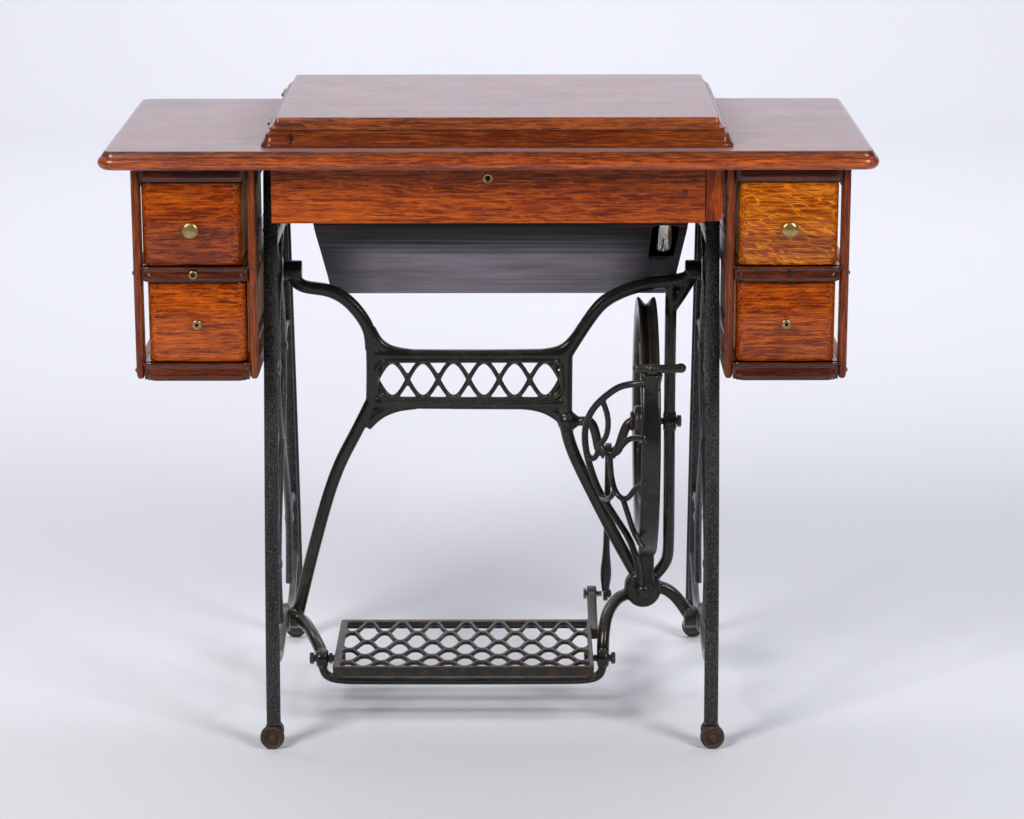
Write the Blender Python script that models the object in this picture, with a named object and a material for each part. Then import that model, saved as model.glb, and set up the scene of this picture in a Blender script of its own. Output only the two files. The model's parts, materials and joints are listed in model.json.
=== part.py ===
"""A treadle sewing machine: an openwork cast iron stand, an oak table with four small drawers,
and a drop head that hangs in the well under the closed lid.

Metres, +Z up. The origin is on the floor, at the centre of the four feet. The operator sits at -Y.
"""

import math

import bmesh
import bpy
from mathutils import Matrix, Vector

GAP = 0.0003            # left between pieces that touch

# Table
TOP_Z = 0.750           # upper face of the leaf
LEAF = 0.0225           # thickness of the leaf
LEAF_HALF = (0.4553, 0.2045)
LEAF_CENTRE = (-0.0028, -0.005)
UNDER = TOP_Z - LEAF - GAP          # highest point of anything screwed under the leaf
WELL_X = (-0.200, 0.232)            # opening through the leaf, over the head
WELL_Y = (-0.158, 0.118)
LID_CENTRE = (0.0077, 0.0075)
LID_HALF = (0.2735, 0.186)          # where the lid meets its surround
SURROUND = 0.0197                   # height of the surround above the leaf
LID_THICK = 0.014
APRON_Z = 0.6585                    # lower edge of the front flap and the rails
APRON_FRONT = -0.187
FLAP_THICK = 0.015
FLAP_X = (-0.2635, 0.257)
RAIL_X = (0.2425, 0.2565)
RAIL_REAR = 0.165

# Drawer cases, given for the right-hand side
CASE_INNER = (0.2825, 0.2930)
CASE_OUTER = (0.4205, 0.4310)
CASE_Y = (-0.195, 0.160)
CASE_FOOT = 0.468
MID_SHELF = (0.589, 0.6077)
LOW_SHELF = (0.467, 0.489)
CASE_TOP = 0.7113
DRAWER_WIDTH = 0.1200
DRAWER_BACK = 0.135
DRAWER_FRONT = 0.014
DRAWER_SHIFT = {                    # how far each drawer sits to one side in its opening
    "upper_left": -0.0025,
    "lower_left": 0.0020,
    "upper_right": 0.0005,
    "lower_right": -0.0010,
}

# Stand
FRAME_X = 0.2715        # middle plane of each side frame
FOOT_X = 0.2735
FOOT_Y = 0.2135
CASTER_RADIUS = 0.015
BRACE_Y = 0.030         # middle plane of the brace, which also carries the band wheel
WEB = 0.004             # half the thickness of a side frame's web
FLANGE = 0.008          # half the width of its legs

# Drive
WHEEL_Z = 0.356
WHEEL_X = 0.1975
WHEEL_RADIUS = 0.1603
THROW = 0.042
ROD_X = 0.1495
CRANK_PIN = 0.005
PIVOT = Vector((0.0, -0.060, 0.064))           # the treadle rocks on this line
LUG = Vector((ROD_X, 0.115, 0.0946))           # the pitman's lower pin
TREADLE_X = (-0.2005, 0.1275)
TREADLE_HALF = 0.105
TREADLE_TOP = 0.084
TREADLE_SLOPE = math.radians(1.8)              # the rear edge is low at rest

# Head, in its own frame: X along the bed, -Y towards the operator and +Z up once it is raised
HEAD_HINGE = Vector((0.0, 0.100, 0.742))
HEAD_DROP = math.radians(85)
ARM_Y = -0.089
SHAFT_Z = 0.165
HAND_WHEEL_RADIUS = 0.066
HAND_WHEEL_X = 0.2125

MATERIALS = {
    "oak": ((0.30, 0.085, 0.018), 0.30, 0.0),
    "oak_dark": ((0.12, 0.030, 0.010), 0.30, 0.0),
    "ebonised_wood": ((0.020, 0.012, 0.010), 0.25, 0.0),
    "drawer_wood": ((0.36, 0.18, 0.07), 0.60, 0.0),
    "japanned_iron": ((0.012, 0.012, 0.011), 0.35, 0.6),
    "worn_iron": ((0.060, 0.050, 0.042), 0.60, 0.7),
    "rusty_iron": ((0.070, 0.035, 0.020), 0.70, 0.6),
    "brass": ((0.45, 0.32, 0.12), 0.35, 1.0),
    "nickel": ((0.60, 0.58, 0.54), 0.25, 1.0),
    "steel": ((0.30, 0.29, 0.28), 0.35, 1.0),
}


# ---------------------------------------------------------------- scene and mesh helpers

def clear_scene():
    for item in list(bpy.data.objects):
        bpy.data.objects.remove(item, do_unlink=True)


def make_materials():
    for name, (colour, roughness, metallic) in MATERIALS.items():
        material = bpy.data.materials.new(name)
        material.use_nodes = True
        shader = material.node_tree.nodes["Principled BSDF"]
        shader.inputs["Base Color"].default_value = (*colour, 1.0)
        shader.inputs["Roughness"].default_value = roughness
        shader.inputs["Metallic"].default_value = metallic


def solid(name, verts, faces, smooth=True):
    """A new object from points and faces, with its faces turned outwards."""
    shape = bmesh.new()
    points = [shape.verts.new(v) for v in verts]
    for face in faces:
        shape.faces.new([points[i] for i in face])
    bmesh.ops.recalc_face_normals(shape, faces=shape.faces)
    mesh = bpy.data.meshes.new(name)
    shape.to_mesh(mesh)
    shape.free()
    if smooth:
        mesh.shade_smooth()
        mesh.set_sharp_from_angle(angle=math.radians(35))
    thing = bpy.data.objects.new(name, mesh)
    bpy.context.scene.collection.objects.link(thing)
    return thing


def finish(thing, name, material):
    """Gives a built shape its node name and its material."""
    thing.name = name
    thing.data.name = name
    thing.data.materials.clear()
    thing.data.materials.append(bpy.data.materials[material])
    return thing


def tube_faces(rings, count, closed):
    """Quads between rings of `count` points each, with end caps unless the rings join up."""
    faces = []
    spans = rings if closed else rings - 1
    for r in range(spans):
        a, b = r * count, (r + 1) % rings * count
        for i in range(count):
            j = (i + 1) % count
            faces.append((a + i, a + j, b + j, b + i))
    if not closed:
        faces.append(tuple(range(count)))
        faces.append(tuple(range((rings - 1) * count, rings * count)))
    return faces


def loft(rings, closed=False):
    count = len(rings[0])
    points = [p for ring in rings for p in ring]
    return solid("loft", points, tube_faces(len(rings), count, closed))


def box(low, high):
    ring = [(low[0], low[1]), (high[0], low[1]), (high[0], high[1]), (low[0], high[1])]
    return loft([[(x, y, z) for x, y in ring] for z in (low[2], high[2])])


def rounded(half, radius, steps=3, centre=(0.0, 0.0)):
    """A rectangle with rounded corners, as points in a plane."""
    points = []
    for k, (sx, sy) in enumerate(((1, 1), (-1, 1), (-1, -1), (1, -1))):
        for s in range(steps + 1):
            angle = math.pi / 2 * (k + s / steps)
            x = centre[0] + sx * (half[0] - radius) + radius * math.cos(angle)
            y = centre[1] + sy * (half[1] - radius) + radius * math.sin(angle)
            points.append((x, y))
    return points


def moulded(half, radius, centre, profile):
    """A board whose edge follows a profile of (outset, height) pairs."""
    rings = []
    for outset, z in profile:
        size = (half[0] + outset, half[1] + outset)
        rings.append([(x, y, z) for x, y in rounded(size, radius + max(outset, 0), 3, centre)])
    return loft(rings)


def prism(outline, low, high, plane="XY"):
    """An outline pushed from low to high along the axis that its plane leaves out."""
    place = {
        "XY": lambda a, b, c: (a, b, c),
        "XZ": lambda a, b, c: (a, c, b),
        "YZ": lambda a, b, c: (c, a, b),
    }[plane]
    return loft([[place(a, b, c) for a, b in outline] for c in (low, high)])


def lathe(profile, centre, axis, sides=16, closed=False):
    """Turns (radius, distance along the axis) pairs. An open profile starts and ends on the axis."""
    axis = Vector(axis).normalized()
    across = Vector((0, 0, 1)) if abs(axis.z) < 0.9 else Vector((0, 1, 0))
    across = (across - axis * across.dot(axis)).normalized()
    other = axis.cross(across)
    centre = Vector(centre)
    inner = profile if closed else profile[1:-1]
    rings = []
    for s in range(sides):
        angle = 2 * math.pi * s / sides
        out = across * math.cos(angle) + other * math.sin(angle)
        rings.append([centre + out * r + axis * d for r, d in inner])
    count = len(inner)
    points = [p for ring in rings for p in ring]
    faces = []
    for s in range(sides):
        a, b = s * count, (s + 1) % sides * count
        for i in range(count if closed else count - 1):
            j = (i + 1) % count
            faces.append((a + i, a + j, b + j, b + i))
    if not closed:
        for end, i in ((profile[0], 0), (profile[-1], count - 1)):
            tip = len(points)
            points.append(centre + axis * end[1])
            for s in range(sides):
                faces.append((tip, s * count + i, (s + 1) % sides * count + i))
    return solid("lathe", points, faces)


def rod(start, end, radius, sides=12):
    """A plain round rod between two points."""
    start, end = Vector(start), Vector(end)
    length = (end - start).length
    return lathe([(0, 0), (radius, 0), (radius, length), (0, length)], start, end - start, sides)


def smooth_path(points, steps=4, closed=False):
    """A Catmull-Rom curve through the points."""
    points = [Vector(p) for p in points]
    count = len(points)
    spans = count if closed else count - 1
    path = []
    for i in range(spans):
        if closed:
            a, b, c, d = (points[(i + k) % count] for k in (-1, 0, 1, 2))
        else:
            b, c = points[i], points[i + 1]
            a = points[i - 1] if i else 2 * b - c
            d = points[i + 2] if i + 2 < count else 2 * c - b
        for s in range(steps):
            t = s / steps
            path.append(0.5 * (2 * b + (c - a) * t + (2 * a - 5 * b + 4 * c - d) * t * t
                               + (3 * b - a - 3 * c + d) * t ** 3))
    if not closed:
        path.append(points[-1])
    return path


def bar(points, width, depth, across, steps=3, sides=6, taper=None):
    """A cast bar: a flattened section swept along a smooth path that lies across `across`."""
    path = smooth_path(points, steps)
    across = Vector(across).normalized()
    rings = []
    for i, p in enumerate(path):
        ahead, behind = path[min(i + 1, len(path) - 1)], path[max(i - 1, 0)]
        tangent = (ahead - behind).normalized()
        side = tangent.cross(across).normalized()
        flat = side.cross(tangent)
        size = taper(i / (len(path) - 1)) if taper else 1.0
        ring = []
        for k in range(sides):
            angle = 2 * math.pi * (k + 0.5) / sides
            out = side * math.cos(angle) * width * size + flat * math.sin(angle) * depth
            ring.append(p + out * 0.56)
        rings.append(ring)
    return loft(rings)


def boolean(base, others, operation):
    """Cuts or joins the other shapes into the base, and keeps only the result."""
    group = bpy.data.collections.new("operands")
    for other in others:
        bpy.context.scene.collection.objects.unlink(other)
        group.objects.link(other)
    modifier = base.modifiers.new("boolean", "BOOLEAN")
    modifier.operation = operation
    modifier.solver = "EXACT"
    modifier.operand_type = "COLLECTION"
    modifier.collection = group
    bpy.context.scene.collection.children.link(group)
    graph = bpy.context.evaluated_depsgraph_get()
    mesh = bpy.data.meshes.new_from_object(base.evaluated_get(graph))
    base.modifiers.clear()
    base.data = mesh
    for other in others:
        bpy.data.objects.remove(other, do_unlink=True)
    bpy.data.collections.remove(group)
    tidy(base)
    return base


def tidy(thing):
    """Merges coincident points and dissolves the needless edges that a Boolean leaves."""
    shape = bmesh.new()
    shape.from_mesh(thing.data)
    bmesh.ops.remove_doubles(shape, verts=shape.verts, dist=2e-6)
    bmesh.ops.dissolve_degenerate(shape, edges=shape.edges, dist=2e-6)
    shape.to_mesh(thing.data)
    shape.free()
    thing.data.shade_smooth()
    thing.data.set_sharp_from_angle(angle=math.radians(35))


def fuse(shapes):
    return boolean(shapes[0], shapes[1:], "UNION")


def cut(base, cutters):
    return boolean(base, cutters, "DIFFERENCE")


# ---------------------------------------------------------------- bodies

def axis_empty(name, place, turn=None, parent=None):
    """An empty on a joint's axis. `place` and `turn` are in the parent's frame."""
    empty = bpy.data.objects.new(name, None)
    empty.empty_display_size = 0.03
    bpy.context.scene.collection.objects.link(empty)
    empty.parent = parent
    empty.location = place
    if turn is not None:
        empty.rotation_euler = turn
    bpy.context.view_layer.update()
    return empty


def ride(thing, empty, frame=None):
    """Parents a shape to a joint's empty. The shape's points are in `frame`, or in the world."""
    built_in = frame.matrix_world if frame else Matrix.Identity(4)
    thing.data.transform(empty.matrix_world.inverted() @ built_in)
    thing.parent = empty
    return thing


# ---------------------------------------------------------------- stand

def side_frame(side):
    """One openwork end frame: two splayed legs, two cross members and crossing scrolls."""
    x = side * FRAME_X
    across = (1, 0, 0)

    def member(points, width, depth):
        return bar([(x, y, z) for y, z in points], width, depth, across)

    leg = [(-0.080, UNDER - 0.004), (-0.096, 0.650), (-0.143, 0.440), (-0.190, 0.200),
           (-0.2075, 0.070), (-0.2090, 0.042)]
    scroll = [(-0.055, 0.604), (0.020, 0.545), (0.062, 0.450), (0.030, 0.370), (-0.050, 0.290),
              (-0.105, 0.200), (-0.080, 0.120)]
    arch = [(-0.196, 0.128), (-0.150, 0.098), (-0.100, 0.082), (-0.045, 0.092), (0.0, 0.104)]
    tie = [(-0.138, 0.462), (-0.100, 0.470), (-0.058, 0.450)]
    low_tie = [(-0.190, 0.200), (-0.150, 0.226), (-0.104, 0.205)]
    shapes = [bar([(x, -0.104, UNDER - 0.006), (x, 0.0, UNDER - 0.0062), (x, 0.104, UNDER - 0.006)],
                  0.0098, 0.0155, across)]
    for k, turn in enumerate((1, -1)):
        flip = [(turn * y, z) for y, z in leg]
        shapes.append(member(flip, 0.0200, 0.0163 - 0.0002 * k))
        shapes.append(member([(turn * y, z) for y, z in scroll], 0.0135, 0.0078 - 0.0002 * k))
        shapes.append(member([(turn * y, z) for y, z in tie], 0.0105, 0.0070 - 0.0002 * k))
        shapes.append(member([(turn * y, z) for y, z in low_tie], 0.0105, 0.0066 - 0.0002 * k))
        shapes.append(foot_lug(x, turn * FOOT_Y, turn))
    shapes.append(member([(-0.104, 0.606), (0.0, 0.610), (0.104, 0.606)], 0.0140, 0.0092))
    shapes.append(member(arch + [(-y, z) for y, z in reversed(arch[:-1])], 0.0160, 0.0088))
    inner = side * (FRAME_X - WEB)
    for z, radius in ((0.556, 0.019), (0.090, 0.019)):
        shapes.append(rod((inner, BRACE_Y, z), (x + side * 0.0052, BRACE_Y, z), radius, 14))
    name = "side_frame_left" if side < 0 else "side_frame_right"
    return finish(fuse(shapes), name, "japanned_iron")


def foot_lug(x, y, turn):
    """The flat lug at the end of a leg that carries the caster's pin."""
    face = y - turn * 0.0040
    disc = rod((x, face - turn * 0.0095, 0.0205), (x, face, 0.0205), 0.0120, 12)
    near, far = sorted((face, face - turn * 0.0094))
    neck = box((x - 0.0075, near, 0.0205), (x + 0.0075, far, 0.050))
    return fuse([disc, neck])


def caster(name, side, turn):
    """A small iron wheel that turns on a pin in the end of its leg."""
    centre = Vector((side * FOOT_X, turn * (FOOT_Y + 0.0030), CASTER_RADIUS))
    r = CASTER_RADIUS
    profile = [(0, -0.0062), (0.0115, -0.0062), (r - 0.0006, -0.0045), (r, -0.0015), (r, 0.0025),
               (r - 0.0010, 0.0050), (0.0110, 0.0062), (0.0050, 0.0066), (0.0042, 0.0082), (0, 0.0088)]
    shape = lathe(profile, centre, (0, turn, 0), 24)
    return ride(finish(shape, name, "rusty_iron"), axis_empty(name + "_axis", centre))


def brace():
    """The casting that ties the side frames together and carries the wheel and the treadle."""
    across = (0, 1, 0)

    def member(points, width, depth, taper=None):
        return bar([(x, BRACE_Y, z) for x, z in points], width, depth, across, taper=taper)

    reach = FRAME_X - WEB - 0.0010
    shapes = [
        member([(-0.156, 0.452), (-0.158, 0.478), (-0.172, 0.501), (-0.191, 0.521), (-0.215, 0.531),
                (-0.238, 0.533), (-0.252, 0.541), (-0.256, 0.556)], 0.0165, 0.0162),
        member([(0.092, 0.440), (0.102, 0.457), (0.128, 0.498), (0.149, 0.520), (0.191, 0.5365),
                (0.225, 0.5405), (0.250, 0.545), (0.258, 0.556)], 0.0165, 0.0160),
        member([(-0.158, 0.444), (-0.028, 0.4425), (0.098, 0.444)], 0.0163, 0.0172),
        member([(-0.160, 0.382), (-0.028, 0.3805), (0.098, 0.380)], 0.0163, 0.0170),
        member([(-0.1545, 0.460), (-0.1545, 0.412), (-0.1560, 0.376)], 0.0165, 0.0168),
        member([(0.0945, 0.452), (0.0940, 0.412), (0.0935, 0.345)], 0.0175, 0.0166),
        member([(-0.153, 0.390), (-0.177, 0.341), (-0.197, 0.304), (-0.213, 0.261), (-0.224, 0.223),
                (-0.239, 0.168), (-0.257, 0.094)], 0.0163, 0.0158),
        member([(0.091, 0.378), (0.097, 0.330), (0.121, 0.277), (0.146, 0.226), (0.167, 0.185),
                (0.192, 0.140)], 0.0163, 0.0156),
        member([(0.2285, 0.540), (0.2280, 0.440), (0.2285, 0.300), (0.2290, 0.190), (0.226, 0.165),
                (0.205, 0.140)], 0.0150, 0.0154),
        member([(0.2285, 0.505), (0.240, 0.522), (0.258, 0.552)], 0.0150, 0.0152),
        member([(0.200, 0.132), (0.222, 0.131), (0.240, 0.118), (0.256, 0.094)], 0.0163, 0.0150),
        # fillets between the panel and the arms
        member([(-0.1600, 0.352), (-0.1440, 0.369), (-0.1210, 0.378), (-0.1000, 0.3805)], 0.0155, 0.0148),
        member([(0.0950, 0.352), (0.0785, 0.369), (0.0580, 0.378), (0.0360, 0.3805)], 0.0155, 0.0146),
        member([(-0.1500, 0.463), (-0.1390, 0.450), (-0.1230, 0.4445), (-0.1020, 0.4425)], 0.0155, 0.0148),
        member([(0.1080, 0.464), (0.0985, 0.451), (0.0840, 0.4445), (0.0630, 0.4425)], 0.0155, 0.0146),
        # two waves cross in the panel's window
        bar(window_wave(1), 0.0058, 0.0074, across, steps=1),
        bar(window_wave(-1), 0.0058, 0.0078, across, steps=1),
        rod((-reach, BRACE_Y, 0.556), (-0.243, BRACE_Y, 0.556), 0.0125, 12),
        rod((0.246, BRACE_Y, 0.556), (reach, BRACE_Y, 0.556), 0.0125, 12),
        rod((-reach, BRACE_Y, 0.090), (-0.250, BRACE_Y, 0.090), 0.0140, 12),
        rod((0.250, BRACE_Y, 0.090), (reach, BRACE_Y, 0.090), 0.0140, 12),
        rod((0.1955, BRACE_Y - 0.0165, 0.132), (0.1955, BRACE_Y + 0.0100, 0.132), 0.0235, 20),
        lathe([(0, -0.0135), (0.0080, -0.0125), (0.0128, -0.0060), (0.0138, 0.0), (0.0120, 0.0070),
               (0.0080, 0.0110), (0, 0.0115)], (0.0960, BRACE_Y, WHEEL_Z), (1, 0, 0), 16),
        rod((0.2200, BRACE_Y, WHEEL_Z), (0.2370, BRACE_Y, WHEEL_Z), 0.0135, 16),
        *yoke(),
    ]
    shape = fuse(shapes)
    bores = [
        rod((0.2150, BRACE_Y, WHEEL_Z), (0.2450, BRACE_Y, WHEEL_Z), 0.0045 + GAP),
        rod((-0.2450, *PIVOT.yz), (-0.1950, *PIVOT.yz), 0.0045 + GAP),
        rod((0.1200, *PIVOT.yz), (0.1700, *PIVOT.yz), 0.0045 + GAP),
        rod((0.1020, BRACE_Y, WHEEL_Z), (0.1300, BRACE_Y, WHEEL_Z), 0.0040 + GAP),
    ]
    return finish(cut(shape, bores), "brace", "japanned_iron")


def window_wave(sign):
    """One of the two waves that fill the window of the panel with six lens shapes."""
    points = []
    for k in range(25):
        x = -0.1490 + 0.2360 * k / 24
        points.append((x, BRACE_Y, 0.4115 + sign * 0.0235 * math.sin(math.pi * k / 4)))
    return points


def yoke():
    """The forward arms and the low bar of the brace, which hold the treadle's pivot screws."""
    left = [(-0.256, BRACE_Y, 0.088), (-0.246, BRACE_Y - 0.022, 0.090), (-0.232, -0.030, 0.083),
            (-0.2215, -0.054, 0.071), (-0.2200, -0.060, 0.060)]
    right = [(0.190, BRACE_Y, 0.124), (0.165, BRACE_Y - 0.018, 0.125), (0.147, -0.025, 0.113),
             (0.1420, -0.052, 0.088), (0.1415, -0.060, 0.060)]
    low = [(-0.2200, -0.060, 0.064), (-0.2190, -0.060, 0.048), (-0.207, -0.060, 0.0352),
           (-0.150, -0.060, 0.0345), (-0.036, -0.060, 0.0340), (0.080, -0.060, 0.0345),
           (0.130, -0.060, 0.0355), (0.1405, -0.060, 0.048), (0.1415, -0.060, 0.064)]
    shapes = [
        bar(left, 0.0160, 0.0150, (0.9, 0.4, 0)),
        bar(right, 0.0160, 0.0148, (0.82, -0.57, 0)),
        bar(low, 0.0118, 0.0140, (0, 1, 0), steps=2),
    ]
    for x in (-0.2200, 0.1415):
        shapes.append(rod((x - 0.0078, *PIVOT.yz), (x + 0.0078, *PIVOT.yz), 0.0125, 16))
    return shapes


def band_wheel(axle):
    """The treadle's flywheel: a grooved rim, a hub and six curved spokes."""
    centre = Vector((WHEEL_X, BRACE_Y, WHEEL_Z))
    r = WHEEL_RADIUS
    rim = [(r - 0.0002, -0.0120), (r, -0.0088), (r - 0.0085, -0.0012), (r - 0.0085, 0.0012),
           (r, 0.0088), (r - 0.0002, 0.0120), (r - 0.0175, 0.0105), (r - 0.0225, 0.0050),
           (r - 0.0225, -0.0050), (r - 0.0175, -0.0105)]
    bore = CRANK_PIN + 0.0001 + GAP
    hub = [(bore, -0.0150), (0.0190, -0.0150), (0.0210, -0.0110), (0.0210, 0.0110), (0.0190, 0.0140),
           (bore, 0.0140)]
    shapes = [lathe(rim, centre, (1, 0, 0), 44, closed=True)]
    for k in range(6):
        turn = Matrix.Rotation(2 * math.pi * k / 6, 3, "X")
        arm = [(0, 0.0, 0.0165), (0, 0.0080, 0.0500), (0, 0.0020, 0.0850), (0, -0.0090, 0.1150),
               (0, -0.0060, 0.1420)]
        points = [centre + turn @ Vector(p) for p in arm]
        shapes.append(bar(points, 0.0125, 0.0088 - 0.0001 * k, (1, 0, 0), steps=2))
    shapes.append(lathe(hub, centre, (1, 0, 0), 20, closed=True))
    return ride(finish(fuse(shapes), "band_wheel", "japanned_iron"), axle)


def crankshaft(axle):
    """The wheel's shaft, bent into a crank on its left."""
    route = [(0.1130, 0.0), (0.1190, 0.0), (0.1240, 0.0), (0.1310, -0.0120), (0.1350, -0.0320),
             (0.1390, -THROW), (0.1430, -THROW), (0.1560, -THROW), (0.1600, -THROW), (0.1640, -0.0320),
             (0.1680, -0.0120), (0.1750, 0.0), (0.1795, 0.0), (0.2130, 0.0)]
    points = [(x, BRACE_Y, WHEEL_Z + z) for x, z in route]
    width = 2 * CRANK_PIN / 1.12
    shape = bar(points, width, width, (0, 1, 0), steps=2, sides=10)
    return ride(finish(shape, "crankshaft", "worn_iron"), axle)


def pitman(knuckle):
    """The flat rod that hangs from the crank pin and ends beside the treadle's lug."""
    pin = Vector((ROD_X, BRACE_Y, WHEEL_Z - THROW))
    along = (pin - LUG).normalized()
    forward = Vector((0, -along.z, along.y))
    low, top = LUG + along * 0.006, pin - along * 0.0090
    bulge = [(0.0, 1.0), (0.22, 1.75), (0.55, 1.15), (1.0, 1.0)]
    points = [low.lerp(top, t) for t, _ in bulge]

    def swell(t):
        return 1.0 + 0.75 * math.exp(-((t - 0.22) / 0.17) ** 2)

    shank = bar(points, 0.0085, 0.0064, forward, steps=3, taper=swell)
    bore, outer, half = CRANK_PIN + GAP, 0.0105, 0.0032
    strap = [(bore, -half), (outer, -half), (outer, half), (bore, half)]
    foot = [(0, -half), (0.0095, -half), (0.0095, half), (0.0060, half), (0.0055, 0.0070), (0, 0.0075)]
    eyes = [lathe(strap, pin, (1, 0, 0), 20, closed=True), lathe(foot, LUG, (1, 0, 0), 14)]
    return ride(finish(fuse([shank, *eyes]), "pitman", "japanned_iron"), knuckle)


def treadle(rocker):
    """The rocking foot plate: a rimmed net of staggered cells with a lug arm behind it."""
    x0, x1 = TREADLE_X
    rim, flange = 0.011, 0.005
    y0, y1 = -TREADLE_HALF, TREADLE_HALF
    plate = prism(rounded(((x1 - x0) / 2, TREADLE_HALF), 0.010, 2, ((x0 + x1) / 2, 0.0)), -0.0055, 0.0)
    columns, rows = 8, 6
    pitch = (x1 - x0 - 2 * rim) / (columns - 0.5)
    step = (y1 - y0 - 2 * rim) / rows
    holes = []
    for row in range(rows):
        shift = 0.5 if row % 2 else 0.0
        for column in range(columns):
            x = x0 + rim + pitch * (column + 0.25 + shift)
            if x + pitch * 0.5 > x1 - rim * 0.5 or x - pitch * 0.5 < x0:
                continue
            y = y0 + rim + step * (row + 0.5)
            holes.append(prism(net_cell(x, y, pitch * 0.41, step * 0.43), -0.02, 0.02))
    plate = cut(plate, holes)
    sides = [box((x, y0 + 0.006, -0.0180), (x + flange, y1 - 0.010, 0.0026)) for x in (x0, x1 - flange)]
    lip = box((x0 + 0.004, y0 - 0.0004, -0.0110), (x1 - 0.004, y0 + 0.0052, 0.0014))
    tilt = Matrix.Rotation(-TREADLE_SLOPE, 4, "X")
    place = Matrix.Translation((0, PIVOT.y, TREADLE_TOP)) @ tilt
    shape = fuse([plate, *sides, lip])
    shape.data.transform(place)
    lug_x = x1 + 0.0035
    arm = [(lug_x, 0.0, 0.076), (lug_x, 0.040, 0.0775), (lug_x, 0.075, 0.083), (lug_x, *LUG.yz)]
    lug_arm = bar(arm, 0.0150, 0.0125, (1, 0, 0))
    eye = rod((lug_x - 0.0066, *LUG.yz), (lug_x + 0.0066, *LUG.yz), 0.0105, 14)
    bosses = [rod((x, *PIVOT.yz), (x + 0.010, *PIVOT.yz), 0.0105, 14) for x in (x0 + 0.0004, x1 - 0.0104)]
    shape = fuse([shape, lug_arm, eye, *bosses])
    shape = cut(shape, [rod((lug_x - 0.02, *LUG.yz), (lug_x + 0.02, *LUG.yz), 0.0040 + GAP)])
    return ride(finish(shape, "treadle", "worn_iron"), rocker)


def net_cell(x, y, half_width, half_depth):
    """A six-sided opening with a pointed front and back."""
    low, high = y - half_depth * 0.35, y + half_depth * 0.35
    left, right = x - half_width, x + half_width
    front, back = (x, y - half_depth), (x, y + half_depth)
    return [(left, low), front, (right, low), (right, high), back, (left, high)]


def screw(name, tip, head, shank, head_radius, head_length, material="steel"):
    """A pivot screw from its tip to the outer face of its head."""
    tip, head = Vector(tip), Vector(head)
    length = (head - tip).length
    profile = [(0, 0), (shank * 0.5, 0), (shank, shank * 0.6), (shank, length - head_length),
               (head_radius, length - head_length), (head_radius, length - 0.001),
               (head_radius - 0.001, length), (0, length)]
    return finish(lathe(profile, tip, head - tip, 12), name, material)


def pivot_screws():
    y, z = PIVOT.yz
    screw("treadle_screw_left", (TREADLE_X[0] - GAP, y, z), (-0.2360, y, z), 0.0045, 0.0080, 0.0055)
    screw("treadle_screw_right", (TREADLE_X[1] + GAP, y, z), (0.1575, y, z), 0.0045, 0.0080, 0.0055)
    y, z = BRACE_Y, WHEEL_Z
    screw("axle_screw_right", (0.2130 + GAP, y, z), (0.2435, y, z), 0.0045, 0.0085, 0.0055)
    profile = [(0, 0), (0.0040, 0), (0.0040, 0.0088), (0, 0.0088)]
    finish(lathe(profile, (0.1030, y, z), (1, 0, 0), 12), "axle_screw_left", "steel")


def pitman_pin(rocker):
    """The pin through the treadle's lug. It stops short of the pitman."""
    start = LUG + Vector((-0.0295, 0, 0))
    profile = [(0, 0), (0.0075, 0), (0.0075, 0.0038), (0.0040, 0.0038), (0.0040, 0.0245), (0, 0.0245)]
    return ride(finish(lathe(profile, start, (1, 0, 0), 12), "pitman_pin", "steel"), rocker)


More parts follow.
